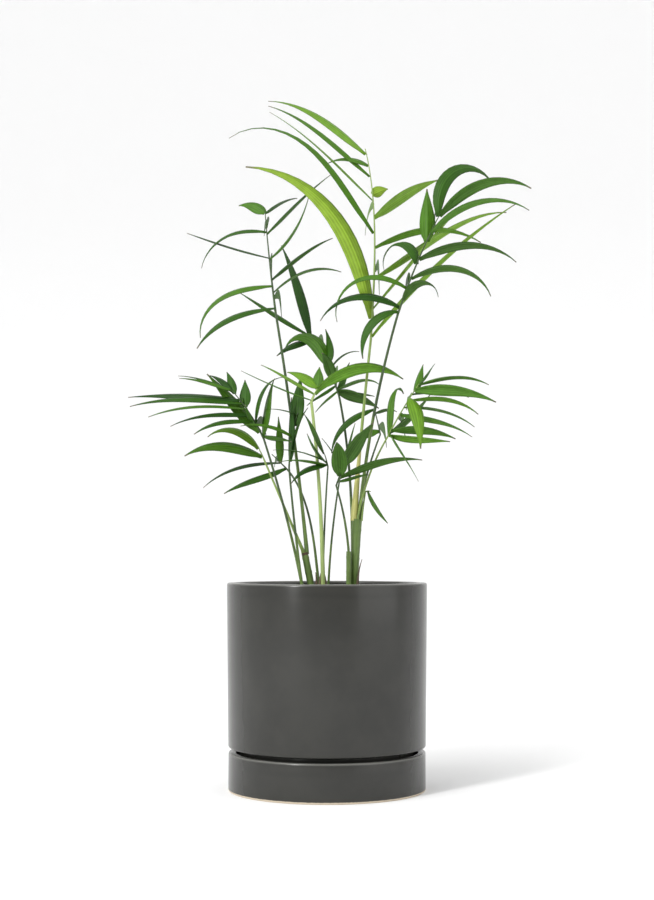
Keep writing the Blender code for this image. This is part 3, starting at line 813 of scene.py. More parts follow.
def limb_route(start, limb, steps):
    """The route of a stalk or a rib."""
    return route(start, limb.heading, limb.rise, limb.fall, limb.length, steps, limb.bend)


def directions(points):
    """The direction of travel at each point of a route."""
    last = len(points) - 1
    return [
        (points[min(index + 1, last)] - points[max(index - 1, 0)]).normalized()
        for index in range(last + 1)
    ]


def leaf_start(rib, along):
    """Where on its rib a leaflet is rooted: the rib goes in even steps, and ends past the last place."""
    reach = min(along, LAST_PLACE) * (len(rib) - 1)
    index = min(int(reach), len(rib) - 2)
    return rib[index].lerp(rib[index + 1], reach - index)


print("ten steps straight up end at", route((0, 0, 0), 0, 90, 90, 10, 10)[-1].z)

# %% [markdown]
# A leaflet is a strip across its route. Rolling the strip turns its face, and its two edges are all
# that the planning needs to know of it.

# %% The edges of a leaflet
LEAF_STEPS = 5
LEAF_ROOT = 1.7
LEAF_TIP = 0.7
WIDEST_EARLY = 0.72
FULLNESS = 0.75


def leaf_body(share):
    """How wide a blade is along its way, as a share of its greatest width: widest early on."""
    return math.sin(math.pi * share ** WIDEST_EARLY) ** FULLNESS


def leaf_half_width(share, width):
    """Half the width of a solid's leaflet: never thinner than its root and its tip."""
    least = LEAF_ROOT + (LEAF_TIP - LEAF_ROOT) * share
    return max(least, width * leaf_body(share)) / 2


def spread_across(points, heading, rolls):
    """At each point of a leaflet, the direction across its blade and the one that its face looks in."""
    turn = math.radians(heading)
    level = Vector((-math.sin(turn), math.cos(turn), 0))
    made = []
    for ahead, roll in zip(directions(points), rolls):
        upright = ahead.cross(level)
        across = level * math.cos(roll) - upright * math.sin(roll)
        made.append((across, across.cross(ahead).normalized()))
    return made


def leaf_edges(start, heading, rise, fall, length, width, face, bend, margin=0.0):
    """The two edges of a leaflet as point pairs, and the directions that its face looks in."""
    points = route(start, heading, rise, fall, length, LEAF_STEPS, bend)
    ways = spread_across(points, heading, [math.radians(face)] * len(points))
    pairs = []
    for index, (point, (across, _)) in enumerate(zip(points, ways)):
        half = leaf_half_width(index / LEAF_STEPS, width) + margin
        pairs.append((point - across * half, point + across * half))
    return pairs, [face_way for _, face_way in ways]


print("widest at", max(range(101), key=lambda part: leaf_body(part / 100)), "per cent of the way")

# %% [markdown]
# Each limb and leaflet is guarded by a closed tube, a little larger than its solid. Two guards that
# overlap tell that the solids would come too close. A leaflet's sunk root is left out, because it is
# meant to lie inside its own rib.

# %% Guards
LEAF_THICK = 0.8
CLEAR = 0.45
SUNK_ROOT = 0.12
GUARD_SIDES = 6


def guard_tree(corners, sides):
    """A search tree of the closed tube that has this many corners in each of its rows."""
    end = len(corners) - sides
    polygons = [tuple(range(sides - 1, -1, -1)), tuple(range(end, end + sides))]
    for base in range(0, end, sides):
        for side in range(sides):
            other = (side + 1) % sides
            polygons.append((base + side, base + other, base + sides + other, base + sides + side))
    return BVHTree.FromPolygons(corners, polygons)


def leaf_guard(pairs, faces):
    """A guard round a leaflet's body."""
    half = LEAF_THICK / 2 + CLEAR
    corners = []
    for (first, second), face in zip(pairs, faces):
        corners += [first + face * half, second + face * half, second - face * half, first - face * half]
    corners[0:4] = [corners[side].lerp(corners[side + 4], SUNK_ROOT) for side in range(4)]
    return guard_tree(corners, 4)


def limb_guard(points, radii):
    """A guard round a cane, a stalk or a rib."""
    corners = []
    first = directions(points)[0].orthogonal()
    for point, ahead, radius in zip(points, directions(points), radii):
        first = (first - ahead * first.dot(ahead)).normalized() if corners else first.normalized()
        second = ahead.cross(first)
        for side in range(GUARD_SIDES):
            angle = math.tau * side / GUARD_SIDES
            way = first * math.cos(angle) + second * math.sin(angle)
            corners.append(point + way * (radius + CLEAR))
    return guard_tree(corners, GUARD_SIDES)


upright = limb_guard([Vector((0, 0, 0)), Vector((0, 0, 10))], [1, 1])
print("round a limb of 1 mm the guard reaches", round(upright.find_nearest((9, 0, 5))[0].x, 2), "mm")

# %% [markdown]
# A lift shows more in the picture than a turn does, so it counts for more when the smallest change is
# looked for. The limbs are planned first, and then leaflet after leaflet finds its place.

# %% Placing the leaflets
CANE_STEPS = 4
LIMB_STEPS = 9
RIB_STEPS = 6
FOOT_LIFT = 0.6
STALK_TAPER = 0.3
RIB_GUARD = 1.0
TURNS = (0, 5, -5, 10, -10, 15, -15, 21, -21, 28, -28)
LIFTS = (0, 5, -5, 10, -10)
LIFT_COST = 1.5


def clear_leaf(start, values, guards):
    """The first small turn or lift of this leaflet that passes clear of the guards."""
    heading, rise, fall, length, width, face, bend = values
    trials = sorted(
        ((turn, lift) for turn in TURNS for lift in LIFTS),
        key=lambda trial: abs(trial[0]) + LIFT_COST * abs(trial[1]),
    )
    for turn, lift in trials:
        tried = (heading + turn, rise + lift, fall + lift, length, width, face, bend)
        guard = leaf_guard(*leaf_edges(start, *tried, margin=CLEAR))
        if not any(guard.overlap(other) for other in guards):
            return tried, guard
    raise ValueError(f"a leaflet with heading {heading} finds no clear place")


def stalk_radii(frond):
    """Half the thickness of a stalk at each step."""
    first = frond.thick / 2
    last = first * (1 - STALK_TAPER)
    return [first + (last - first) * step / LIMB_STEPS for step in range(LIMB_STEPS + 1)]


def plan_limbs():
    """The routes of the canes, and of each frond's stalk and rib."""
    canes = {}
    for name, cane in CANES.items():
        start = Vector((*cane.foot, SOIL_TOP + SEAT + FOOT_LIFT))
        canes[name] = route(start, cane.heading, cane.rise, cane.fall, cane.length, CANE_STEPS)
    stalks = {}
    ribs = {}
    for name, frond in FRONDS.items():
        if frond.seat == "soil":
            start = Vector((*frond.foot, SOIL_TOP + SEAT + FOOT_LIFT))
        else:
            start = canes[frond.seat][-1] + Vector((*frond.foot, SEAT))
        stalks[name] = limb_route(start, frond.stalk, LIMB_STEPS)
        joint = stalks[name][-1] + directions(stalks[name])[-1] * SEAT
        ribs[name] = limb_route(joint, frond.rib, RIB_STEPS)
    return canes, stalks, ribs


def plan_plant():
    """Works out where every cane, stalk, rib and leaflet goes, each clear of all the earlier ones."""
    canes, stalks, ribs = plan_limbs()
    limbs = [limb_guard(stalks[name], stalk_radii(frond)) for name, frond in FRONDS.items()]
    limbs += [limb_guard(canes[name], [cane.base / 2] * (CANE_STEPS + 1)) for name, cane in CANES.items()]
    rib_guards = {name: limb_guard(rib, [RIB_GUARD] * (RIB_STEPS + 1)) for name, rib in ribs.items()}
    plan = {}
    earlier = []
    for name, frond in FRONDS.items():
        others = limbs + [guard for other, guard in rib_guards.items() if other != name] + earlier
        leaflets = []
        for fan in frond.leaflets:
            for number in range(fan.count):
                share = number / max(fan.count - 1, 1)
                along, *values = (between(value, share) for value in fan[1:])
                placed, guard = clear_leaf(leaf_start(ribs[name], along), values, others)
                leaflets.append((along, *placed))
                earlier.append(guard)
        plan[name] = (stalks[name], ribs[name], leaflets)
    return canes, plan


canes, plan = plan_plant()
print("placed", sum(len(leaflets) for _, _, leaflets in plan.values()), "leaflets")

# %% [markdown]
# ## Greens
#
# A palm is never one green. The old fronds are deep green, the newest are yellow-green, and each
# leaflet differs a little from the next. Every leaflet is dealt one of a few plain greens, and the
# shader only adds fine veins, soft mottling and a dry tip. The undersides are paler and duller.

# %% Leaf materials
LEAF_GREENS = {
    "deep": (0.012, 0.050, 0.002),
    "dark": (0.022, 0.076, 0.003),
    "mid": (0.045, 0.126, 0.006),
    "fresh": (0.095, 0.205, 0.011),
    "light": (0.168, 0.270, 0.022),
    "pale": (0.108, 0.212, 0.024),
}
UNDER_MIX = (0.19, 0.34, 0.08)
DRY_TIP = (0.17, 0.14, 0.10)
LEAF_ROUGH = 0.38
UNDER_ROUGH = 0.5
MOTTLE_ROUGHER = 0.12
DRY_ROUGHER = 0.2
LEAF_SPECULAR = 0.22
LEAF_RELIEF = 0.00018
MOTTLE_SCALE = 160

# Waves across half a blade, in radians
WIDE_VEINS = 19.0
FINE_VEINS = 53.0
VEIN_WANDER = 3.0

# Across the blade, squared: where the midrib ends and the dark edge starts. Along it: the dry tip
MIDRIB_END = 0.008
EDGE_START = 0.8
DRY_FROM = 0.93
DRY_FULL = 0.985


def scaled(green, factor, lift=0.0):
    """A darker or lighter version of a green."""
    return tuple(part * factor + lift for part in green)


def leaf_material(name, green, under):
    """A leaflet's finish; under makes the paler underside of the same green."""
    material, tree, shader, place = new_material(name)
    shader.inputs["Specular IOR Level"].default_value = LEAF_SPECULAR
    if under:
        green = tuple(own * 0.55 + other * 0.45 * (0.4 + own * 2.2) for own, other in zip(green, UNDER_MIX))
    across = node(tree, "ShaderNodeAttribute", {"attribute_name": "across"}, {}, output="Fac")
    share = node(tree, "ShaderNodeAttribute", {"attribute_name": "share"}, {}, output="Fac")
    mottle = speckle(tree, place, MOTTLE_SCALE, detail=2.0)
    wide_veins = (across * WIDE_VEINS).sine() * 0.5 + 0.5
    fine_veins = (across * FINE_VEINS + mottle * VEIN_WANDER).sine() * 0.5 + 0.5
    veins = wide_veins * 0.55 + fine_veins * 0.45
    shaded = mix_color(veins, scaled(green, 0.72), scaled(green, 1.45))
    shaded = mix_color((mottle - 0.42) * 1.6, shaded, scaled(green, 1.55))
    off_middle = across * across
    midrib = 1 - off_middle.above(0.0, MIDRIB_END)
    shaded = mix_color(midrib * 0.45, shaded, scaled(green, 2.0, 0.01))
    edge = off_middle.above(EDGE_START, 1.0)
    shaded = mix_color(edge * 0.4, shaded, scaled(green, 0.45))
    dryness = (share + (mottle - 0.5) * 0.06).above(DRY_FROM, DRY_FULL)
    connect(mix_color(dryness * 0.85, shaded, DRY_TIP), shader, "Base Color")
    rough = UNDER_ROUGH if under else LEAF_ROUGH
    connect(rough + MOTTLE_ROUGHER * mottle + DRY_ROUGHER * dryness, shader, "Roughness")
    connect(relief(tree, veins, LEAF_RELIEF, 0.6), shader, "Normal")
    return material


leaf_names = list(LEAF_GREENS)
leaf_tops = [leaf_material("leaf_" + name, LEAF_GREENS[name], False) for name in leaf_names]
leaf_unders = [leaf_material("leaf_under_" + name, LEAF_GREENS[name], True) for name in leaf_names]
print(len(leaf_tops + leaf_unders), "leaf materials")

# %% [markdown]
# Stalks are streaked along their length. The noise is stretched upwards for that, since a stalk stands
# nearly upright. Each finish is a pair: its own colour and the colour of its streaks.

# %% Stalk materials
STALK_COLORS = {
    "dark": ((0.036, 0.075, 0.016), (0.018, 0.042, 0.008)),
    "green": ((0.085, 0.150, 0.022), (0.035, 0.070, 0.010)),
    "light": ((0.230, 0.330, 0.075), (0.120, 0.200, 0.040)),
    "pale": ((0.330, 0.430, 0.140), (0.230, 0.330, 0.090)),
    "sheath": ((0.125, 0.205, 0.042), (0.065, 0.120, 0.022)),
    "yellow": ((0.480, 0.470, 0.150), (0.330, 0.330, 0.090)),
    "husk": ((0.090, 0.055, 0.028), (0.035, 0.022, 0.012)),
}
STALK_ROUGH = 0.45
STALK_RELIEF = 0.0001
STREAK_SCALE = 900
STREAK_STRETCH = (1.0, 1.0, 0.12)
PATCH_SCALE = 70


def stalk_material(name, color, streak):
    """A stalk or sheath: fine streaks along it in a second colour."""
    material, tree, shader, place = new_material(name, STALK_ROUGH)
    stretched = node(tree, "ShaderNodeMapping", {}, {"Vector": place, "Scale": STREAK_STRETCH})
    lines = speckle(tree, stretched, STREAK_SCALE, detail=2.0)
    patch = speckle(tree, place, PATCH_SCALE, detail=2.0)
    shade = mix_color(lines.above(0.42, 0.66) * 0.55, color, streak)
    connect(mix_color(patch.above(0.52, 0.75) * 0.4, shade, streak), shader, "Base Color")
    connect(relief(tree, lines, STALK_RELIEF, 0.6), shader, "Normal")
    return material


stalk_names = list(STALK_COLORS)
stalk_finishes = [stalk_material("stalk_" + name, *STALK_COLORS[name]) for name in stalk_names]
print(len(stalk_finishes), "stalk materials")

# %% [markdown]
# ## Stalks, ribs and canes
#
# Each of these is a round shoot that tapers along a path. The script only draws the paths, as
# chains of edges that know their own girth. Geometry Nodes turn the chains to curves and run a
# small circle along them, which keeps the sweep even and the ends closed.

# %% Drawing paths with a girth
Shoot = namedtuple("Shoot", "points radii finish")


def line_object(name, points, edges, columns):
    """Edges between points, with named numbers or directions kept on the points."""
    mesh = bpy.data.meshes.new(name)
    mesh.from_pydata(points, edges, [])
    for label, numbers in columns.items():
        kind, field = ("FLOAT", "value") if len(numbers) == len(points) else ("FLOAT_VECTOR", "vector")
        mesh.attributes.new(label, kind, "POINT").data.foreach_set(field, numbers)
    return new_object(name, mesh)


def path_object(name, shoots):
    """Edges along every shoot, with its radius and its finish kept on the points."""
    points = []
    edges = []
    columns = {"girth": [], "finish": []}
    for shoot in shoots:
        first = len(points)
        points += [tuple(point * MM) for point in shoot.points]
        columns["girth"] += [radius * MM for radius in shoot.radii]
        columns["finish"] += [float(stalk_names.index(label)) for label in shoot.finish]
        edges += [(spot, spot + 1) for spot in range(first, len(points) - 1)]
    return line_object(name, points, edges, columns)


def deal_materials(obj, materials, label):
    """Gives each face the material that its points carry as a number."""
    mesh = obj.data
    numbers = [0.0] * len(mesh.vertices)
    mesh.attributes[label].data.foreach_get("value", numbers)
    mesh.materials.clear()
    for material in materials:
        mesh.materials.append(material)
    for face in mesh.polygons:
        number = round(max(numbers[spot] for spot in face.vertices))
        face.material_index = min(len(materials) - 1, number)
    mesh.shade_smooth()


print("a shoot has", " and ".join(Shoot._fields))

# %% [markdown]
# The sweep takes its size at each point from the path's own girth. A stalk needs fewer sides than a
# cane, so their number is an input.

# %% Sweeping a circle along the paths
STALK_SIDES = 10
CANE_SIDES = 18


def sweep_tree():
    tree = Tree("sweep_shoots", {
        "Sides": ("NodeSocketInt", STALK_SIDES),
        "Finish": ("NodeSocketMaterial", None),
    })
    line = tree.add("GeometryNodeMeshToCurve", {}, {"Mesh": tree.given("Geometry")})
    size = {"Resolution": tree.given("Sides"), "Radius": 1.0}
    ring = tree.add("GeometryNodeCurvePrimitiveCircle", {}, size)
    sockets = {"Curve": line, "Profile Curve": ring, "Scale": tree.named("girth"), "Fill Caps": True}
    swept = tree.add("GeometryNodeCurveToMesh", {}, sockets)
    tree.close(swept.outputs[0], tree.given("Finish"))
    return tree


sweep = sweep_tree()


def sweep_shoots(name, shoots, sides):
    """One piece for these shoots, each with the finishes that it carries."""
    paths = path_object(name + "_paths", shoots)
    piece = run_tree(paths, sweep, {"Sides": sides, "Finish": stalk_finishes[0]}, name)
    deal_materials(piece, stalk_finishes, "finish")
    print(name, len(piece.data.polygons), "faces")
    return piece


print("sweep has", len(sweep.group.nodes), "nodes")

# %% [markdown]
# The canes keep the ring scars of fallen leaves, a husk of old sheath at their foot and, on the left
# one, a dark, dried collar at the top. Scraps of old sheath stand up beside them, and show just
# above the rim of the pot.

# %% Canes and scraps of sheath
PATH_STEPS = 40
CANE_SUNK = 3
RING_GAP = 9.0
RING_WIDTH = 0.7
RING_SWELL = 0.06
HUSK_PART = 0.08
COLLAR_FROM = 0.95
SCRAP_STEPS = 6
SCRAP_TAPER = 0.75
SCRAP_RISE = 92
SCRAP_FALL = 70

# Each scrap: the place of its foot, its heading, its length and its girth
SCRAPS = (
    ((-4.6, -5.5, 136), 40, 11.0, 1.3), ((-7.0, -4.0, 136), 120, 9.0, 1.0),
    ((-1.0, -5.5, 135), 150, 12.0, 1.1), ((-2.6, -6.0, 138), 20, 7.0, 0.9),
    ((20.9, -2.0, 136), 0, 18.0, 0.8), ((20.4, -3.0, 136), 20, 9.0, 0.8),
)


def cane_shoot(name):
    """A cane from a little under its solid's foot, with its rings and its husk."""
    cane = CANES[name]
    start = canes[name][0] - Vector((0, 0, CANE_SUNK))
    points = route(start, cane.heading, cane.rise, cane.fall, cane.length + CANE_SUNK, PATH_STEPS)
    radii = []
    finish = []
    for step in range(PATH_STEPS + 1):
        share = step / PATH_STEPS
        radius = (cane.base + (cane.top - cane.base) * share) / 2
        ring = math.exp(-(((share * cane.length) % RING_GAP - RING_GAP / 2) / RING_WIDTH) ** 2)
        radii.append(radius * (1 + RING_SWELL * ring))
        dry = share < HUSK_PART or (share > COLLAR_FROM and name == "left")
        finish.append("husk" if dry else "sheath")
    return Shoot(points, radii, finish)


def scrap_shoot(place, heading, length, girth):
    """A dry brown scrap of old sheath: a short curled strip."""
    points = route(Vector(place), heading, SCRAP_RISE, SCRAP_FALL, length, SCRAP_STEPS)
    radii = [girth * (1 - SCRAP_TAPER * step / SCRAP_STEPS) for step in range(SCRAP_STEPS + 1)]
    return Shoot(points, radii, ["husk"] * len(points))


shoots = [cane_shoot(name) for name in CANES] + [scrap_shoot(*scrap) for scrap in SCRAPS]
cane_piece = sweep_shoots("canes", shoots, CANE_SIDES)
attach(cane_piece, ROOT)
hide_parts(*("cane_" + name for name in CANES))

# %% [markdown]
# The stalks rise from the canes and from the soil, some clasped at first by a paler sheath, and grow
# thin towards the frond. They have finer steps than the solids, so each fine path is drawn to the
# end of the coarse one. The rib carries on from its stalk and thins to a thread.

# %% Stalks and ribs
STALK_SUNK = 1.5
FINE_TAPER = 0.32
STOUT = 1.8
CLASP = 0.35
CLASP_FADE = 16.0
GREEN_PART = 0.5
SHEATHED = ("right", "left", "outer_left", "inner_left")
SHEATH_PART = 0.3
YELLOW_LENGTH = 46
YELLOW_GIRTH = 1.1
RIB_PART = 0.34
RIB_END = 0.3


def drawn_to(points, end):
    """A path of even steps, moved more and more along its way so that it ends at this place."""
    shift = end - points[-1]
    last = len(points) - 1
    return [point + shift * (step / last) for step, point in enumerate(points)]


def stalk_shoot(name):
    """A stalk from its seat to where the rib starts, a little stouter in its lowest part."""
    frond = FRONDS[name]
    stalk = plan[name][0]
    points = drawn_to(limb_route(stalk[0], frond.stalk, PATH_STEPS), stalk[-1])
    points[0] = points[0] - Vector((0, 0, STALK_SUNK))
    radii = []
    finish = []
    for step in range(PATH_STEPS + 1):
        share = step / PATH_STEPS
        clasp = math.exp(-share * frond.stalk.length / CLASP_FADE)
        radii.append(frond.thick / 2 * (1 - FINE_TAPER * share) + CLASP * clasp * (frond.thick > STOUT))
        label = "green" if frond.tone == "dark" and share < GREEN_PART else frond.tone
        if name == "tall" and share * frond.stalk.length < YELLOW_LENGTH:
            label = "yellow"
            radii[-1] += YELLOW_GIRTH * (1 - share * frond.stalk.length / YELLOW_LENGTH)
        elif name in SHEATHED and share < SHEATH_PART:
            label = "sheath"
        finish.append(label)
    return Shoot(points, radii, finish)


def rib_shoot(name):
    """A rib from the end of its stalk to its tip."""
    frond = FRONDS[name]
    stalk, rib, _ = plan[name]
    points = [stalk[-1]] + drawn_to(limb_route(rib[0], frond.rib, PATH_STEPS), rib[-1])
    thin = frond.thick * RIB_PART
    radii = [thin] + [thin + (RIB_END - thin) * step / PATH_STEPS for step in range(PATH_STEPS + 1)]
    return Shoot(points, radii, [frond.tone] * len(points))


for tone in ("light", "dark", "pale"):
    names = [name for name, frond in FRONDS.items() if frond.tone == tone]
    shoots = [stalk_shoot(name) for name in names] + [rib_shoot(name) for name in names]
    piece = sweep_shoots("stalks_" + tone, shoots, STALK_SIDES)
    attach(piece, ROOT)
    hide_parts(*("stalk_" + name for name in names))

# %% [markdown]
# ## Leaflets
#
# A palm leaflet is a long blade, creased along its middle like a strip of folded paper, that
# narrows to a thread at the tip. The script draws only the crease of each leaflet and notes on its
# points how wide the blade is there and which way it spreads.

# %% The crease of each leaflet
BLADE_STEPS = 16
TIP_WIDTH = 0.35
TIP_DRAW = 0.5
ROOT_PART = 0.5
TOWARDS_LIGHT = Vector((-0.2, -0.5, 0.85))

# How far a blade twists, in degrees, and how that and its fold vary from leaflet to leaflet
TWIST = 7
TWIST_PHASE = 1.7
TWIST_ALONG = 2.4
FOLD = 0.30
FOLD_VARIES = 0.5
FOLD_PHASE = 2.3
FOLD_AT_ROOT = 1.6


def blade_half_width(share, width):
    """Half the width of a fine leaflet: as the solid's, but drawn out to a thread."""
    body = leaf_body(share) * (1 - TIP_DRAW * share ** 3)
    root = LEAF_ROOT * ROOT_PART * (1 - share) ** 3
    return max(root, width * body * 0.5, TIP_WIDTH * 0.5)


def crease(start, values, number):
    """Along one leaflet: the point, the direction across, the way it faces, half width and share."""
    heading, rise, fall, length, width, face, bend = values
    end = route(start, heading, rise, fall, length, LEAF_STEPS, bend)[-1]
    points = drawn_to(route(start, heading, rise, fall, length, BLADE_STEPS, bend), end)
    shares = [step / BLADE_STEPS for step in range(BLADE_STEPS + 1)]
    waves = [math.sin(number * TWIST_PHASE + share * TWIST_ALONG) for share in shares]
    rolls = [math.radians(face) + math.radians(TWIST * wave) for wave in waves]
    ways = spread_across(points, heading, rolls)
    side = -1 if ways[len(ways) // 2][1].dot(TOWARDS_LIGHT) < 0 else 1
    return [
        (point, across * side, face_way * side, blade_half_width(share, width), share)
        for point, (across, face_way), share in zip(points, ways, shares)
    ]


def crease_object(name, leaflets):
    """All creases of one tone as edges, with what Geometry Nodes need on their points."""
    columns = {"half": [], "share": [], "tint": [], "fold": [], "spread": [], "facing": []}
    points = []
    edges = []
    for number, (start, values, tint) in enumerate(leaflets):
        first = len(points)
        fold = FOLD * (1 + FOLD_VARIES * math.sin(number * FOLD_PHASE))
        for point, across, face_way, half, share in crease(start, values, number):
            points.append(tuple(point * MM))
            columns["spread"] += list(across)
            columns["facing"] += list(face_way)
            columns["half"].append(half * MM)
            columns["share"].append(share)
            columns["tint"].append(float(tint))
            columns["fold"].append(fold * (FOLD_AT_ROOT - share))
        edges += [(spot, spot + 1) for spot in range(first, len(points) - 1)]
    columns["across"] = [0.0] * len(points)
    return line_object(name, points, edges, columns)


print("half widths of a blade 8 mm wide:", [round(blade_half_width(part / 4, 8), 1) for part in range(5)])

# %% [markdown]
# Geometry Nodes pull the edges of the crease out to both sides in a few columns, a little lower each
# time, so that every blade gets its fold. The fold is sharpest next to the crease.

# %% Unfolding the blades
DROPS = (1.6, 1.0, 0.4)
COLUMNS = len(DROPS)
WELD = 0.008


def pull_out(tree, side):
    """One side of all blades: the crease's edges pulled out once for each column."""
    geometry = tree.given("Geometry")
    picked = {}
    for column, drop in enumerate(DROPS):
        product = {"operation": "MULTIPLY"}
        reach = tree.add("ShaderNodeMath", product, {0: tree.named("half"), 1: side / COLUMNS})
        fold = tree.add("ShaderNodeMath", product, {0: tree.named("half"), 1: tree.named("fold")})
        fall = tree.add("ShaderNodeMath", product, {0: fold, 1: -drop / COLUMNS})
        moves = []
        for label, amount in (("spread", reach), ("facing", fall)):
            sockets = {0: tree.named(label, "FLOAT_VECTOR"), "Scale": amount}
            moves.append(tree.add("ShaderNodeVectorMath", {"operation": "SCALE"}, sockets))
        offset = tree.add("ShaderNodeVectorMath", {"operation": "ADD"}, {0: moves[0], 1: moves[1]})
        sockets = {"Mesh": geometry, "Offset": offset, **picked}
        pulled = tree.add("GeometryNodeExtrudeMesh", {"mode": "EDGES"}, sockets)
        picked = {"Selection": pulled.outputs["Top"]}
        across = side * (column + 1) / COLUMNS
        sockets = {"Geometry": pulled.outputs["Mesh"], "Name": "across", "Value": across, **picked}
        settings = {"data_type": "FLOAT", "domain": "POINT"}
        geometry = tree.add("GeometryNodeStoreNamedAttribute", settings, sockets).outputs[0]
    return geometry


def blade_tree():
    tree = Tree("unfold_blades", {
        "Weld": ("NodeSocketFloat", WELD * MM),
        "Finish": ("NodeSocketMaterial", None),
    })
    right = pull_out(tree, 1.0)
    left = tree.add("GeometryNodeFlipFaces", {}, {"Mesh": pull_out(tree, -1.0)}).outputs[0]
    joined = tree.add("GeometryNodeJoinGeometry")
    for half in (right, left):
        tree.group.links.new(half, joined.inputs[0])
    weld = {"Geometry": joined, "Distance": tree.given("Weld")}
    welded = tree.add("GeometryNodeMergeByDistance", {}, weld)
    tree.close(welded.outputs[0], tree.given("Finish"))
    return tree


blades = blade_tree()
print("blades have", 2 * COLUMNS, "columns")

# %% [markdown]
# Each tone of frond is dealt its greens in turn. A Solidify modifier then gives the blades their
# thickness and lays the paler green on their undersides.

# %% Leaflets of each tone
BLADE_THICK = 0.3
DEALS = {
    "dark": ("dark", "deep", "mid", "dark", "deep", "dark", "mid"),
    "light": ("mid", "fresh", "mid", "dark", "mid"),
    "pale": ("pale", "fresh", "mid"),
    "tall": ("light", "mid", "fresh", "mid", "fresh", "mid", "light", "light", "light", "fresh", "light"),
}


def tone_leaflets(names, tone):
    """Start, growth and green of every leaflet of these fronds; the tall one has a deal of its own."""
    leaflets = []
    for name in names:
        deal = DEALS.get(name, DEALS[tone])
        for number, (along, *values) in enumerate(plan[name][2]):
            tint = leaf_names.index(deal[number % len(deal)])
            leaflets.append((leaf_start(plan[name][1], along), values, tint))
    return leaflets


def thicken(piece):
    """Gives the blades their thickness and their undersides, and keeps the result."""
    solid = piece.modifiers.new("Thickness", "SOLIDIFY")
    solid.thickness = BLADE_THICK * MM
    solid.offset = 0
    solid.material_offset = len(leaf_tops)
    thick_mesh = plain_mesh(piece)
    piece.modifiers.clear()
    piece.data = thick_mesh


for tone in ("dark", "light", "pale"):
    names = [name for name, frond in FRONDS.items() if frond.tone == tone]
    leaflets = tone_leaflets(names, tone)
    creases = crease_object("creases_" + tone, leaflets)
    inputs = {"Weld": WELD * MM, "Finish": leaf_tops[0]}
    piece = run_tree(creases, blades, inputs, "leaflets_" + tone)
    deal_materials(piece, leaf_tops + leaf_unders, "tint")
    thicken(piece)
    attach(piece, ROOT)
    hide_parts(*("frond_" + name for name in names))
    print("leaflets", tone, len(leaflets), "blades", len(piece.data.polygons), "faces")

# %% [markdown]
# ## The studio
#
# The photograph shows a plain white ground in soft light. Here a sheet of paper lies flat under the
# pot and curves up behind it, so that no edge shows.

# %% The paper sweep
FLOOR_COLOR = 0.94
FLOOR_DARKER = 0.995
FLOOR_ROUGH = 0.9
FLOOR_SCALE = 0.6
WALL_BEHIND = 5.0
SWEEP_RADIUS = 2.0
SWEEP_STEPS = 24
STAGE_REACH = 40.0


def floor_material():
    material, tree, shader, place = new_material("studio_floor", FLOOR_ROUGH)
    plain = (FLOOR_COLOR,) * 3
    tint = mix_color(speckle(tree, place, FLOOR_SCALE), plain, scaled(plain, FLOOR_DARKER))
    connect(tint, shader, "Base Color")
    shader.inputs["Specular IOR Level"].default_value = 0.0
    return material


line = [(-STAGE_REACH, 0.0)]
for step in range(SWEEP_STEPS + 1):
    angle = math.pi / 2 * step / SWEEP_STEPS
    line.append((WALL_BEHIND + SWEEP_RADIUS * math.sin(angle), SWEEP_RADIUS * (1 - math.cos(angle))))
line.append((WALL_BEHIND + SWEEP_RADIUS, STAGE_REACH))
points = [(side, depth, height) for depth, height in line for side in (-STAGE_REACH, STAGE_REACH)]
faces = [(spot, spot + 1, spot + 3, spot + 2) for spot in range(0, len(points) - 2, 2)]
paper = bpy.data.meshes.new("floor")
paper.from_pydata(points, [], faces)
finish_piece(paper, "floor", floor_material())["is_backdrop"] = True
print("paper sweep with", len(faces), "faces")

# %% [markdown]
# A white sky gives the even light and the pale edges on the glaze. It is brighter overhead, and
# darker on the side that the camera looks from, so that the front of the pot stays dark.

# %% The sky
SKY_SIDES = 0.72
SKY_FRONT = 0.3
SKY_TOP = 1.1

world = bpy.data.worlds.new("studio")
bpy.context.scene.world = world
world.use_nodes = True
tree = world.node_tree
way = node(tree, "ShaderNodeTexCoord", {}, {}, output="Generated")
front = 0 - node(tree, "ShaderNodeSeparateXYZ", {}, {"Vector": way}, output="Y")
height = node(tree, "ShaderNodeSeparateXYZ", {}, {"Vector": way}, output="Z")
strength = SKY_SIDES - (SKY_SIDES - SKY_FRONT) * front.above(0.5, 0.95)
strength = strength + (SKY_TOP - SKY_SIDES) * height.above(0.6, 0.9)
background = tree.nodes["Background"]
tree.links.new(strength.socket, background.inputs["Strength"])
background.inputs["Color"].default_value = (1, 1, 1, 1)
print("sky from", SKY_FRONT, "in front to", SKY_TOP, "overhead")

# %% [markdown]
# One broad light from the left throws the soft shadow to the right. A low one from the right fills
# it and whitens the paper behind, and a tall, narrow softbox draws the long highlight on the glaze.

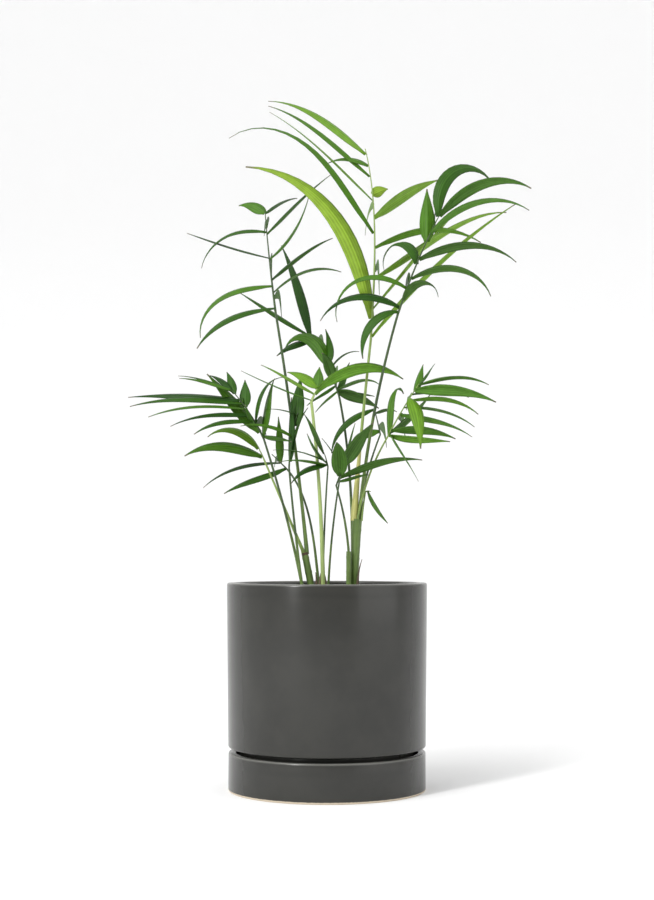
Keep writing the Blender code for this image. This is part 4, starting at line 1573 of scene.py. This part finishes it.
# %% Lamps
# Each broad light: its name, strength, spread in degrees and place
SUNS = (
    ("window_light", 0.85, 38, (-2.0, -1.8, 2.5)),
    ("fill_light", 0.72, 50, (2.6, -1.5, 0.35)),
)
SOFTBOX_WIDTH = 0.25
SOFTBOX_HEIGHT = 1.6
SOFTBOX_WATTS = 30.0
SOFTBOX_PLACE = (-1.25, -1.6, 1.2)
SOFTBOX_TARGET = (0, 0, 0.1)


def add_lamp(lamp, stand, target):
    obj = new_object(lamp.name, lamp)
    obj.location = stand
    obj.rotation_euler = (Vector(target) - Vector(stand)).to_track_quat("-Z", "Y").to_euler()
    obj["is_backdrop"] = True


for name, energy, spread, stand in SUNS:
    sun = bpy.data.lights.new(name, "SUN")
    sun.energy = energy
    sun.angle = math.radians(spread)
    add_lamp(sun, stand, (0, 0, 0))

softbox = bpy.data.lights.new("softbox", "AREA")
softbox.shape = "RECTANGLE"
softbox.size = SOFTBOX_WIDTH
softbox.size_y = SOFTBOX_HEIGHT
softbox.energy = SOFTBOX_WATTS
add_lamp(softbox, SOFTBOX_PLACE, SOFTBOX_TARGET)
bpy.context.scene.view_settings.view_transform = "Standard"
print("lamps:", len(SUNS) + 1)

# %% [markdown]
# ## The camera
#
# The photograph looks from just above the rim of the pot and about a metre away, with the lens tilted
# up a few degrees to take in the crown.

# %% Camera
CAMERA_PLACE = (0.0, -1.05, 0.158)
CAMERA_TILT = 3.8
FOCAL_PIXELS = 1548.0
PHOTO_HEIGHT = 900.0
SENSOR = 36.0
FAR_CLIP = 200.0

camera_data = bpy.data.cameras.new("camera")
camera_data.sensor_width = SENSOR
camera_data.lens = FOCAL_PIXELS / PHOTO_HEIGHT * SENSOR
camera_data.clip_end = FAR_CLIP
camera = new_object("camera", camera_data)
camera.location = CAMERA_PLACE
camera.rotation_euler = (math.radians(90 + CAMERA_TILT), 0, 0)
bpy.context.scene.camera = camera
print("lens", round(camera_data.lens, 1), "mm")

# %% [markdown]
# ## Sizes and the end
#
# The dressed plant must stay as big as its solids. Both boxes are printed side by side.

# %% Print both boxes and finish
visual_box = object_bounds()
for label, box in (("solids", cad_box), ("dressed", visual_box)):
    print(label, [round(edge * 1000, 1) for corner in box for edge in corner])
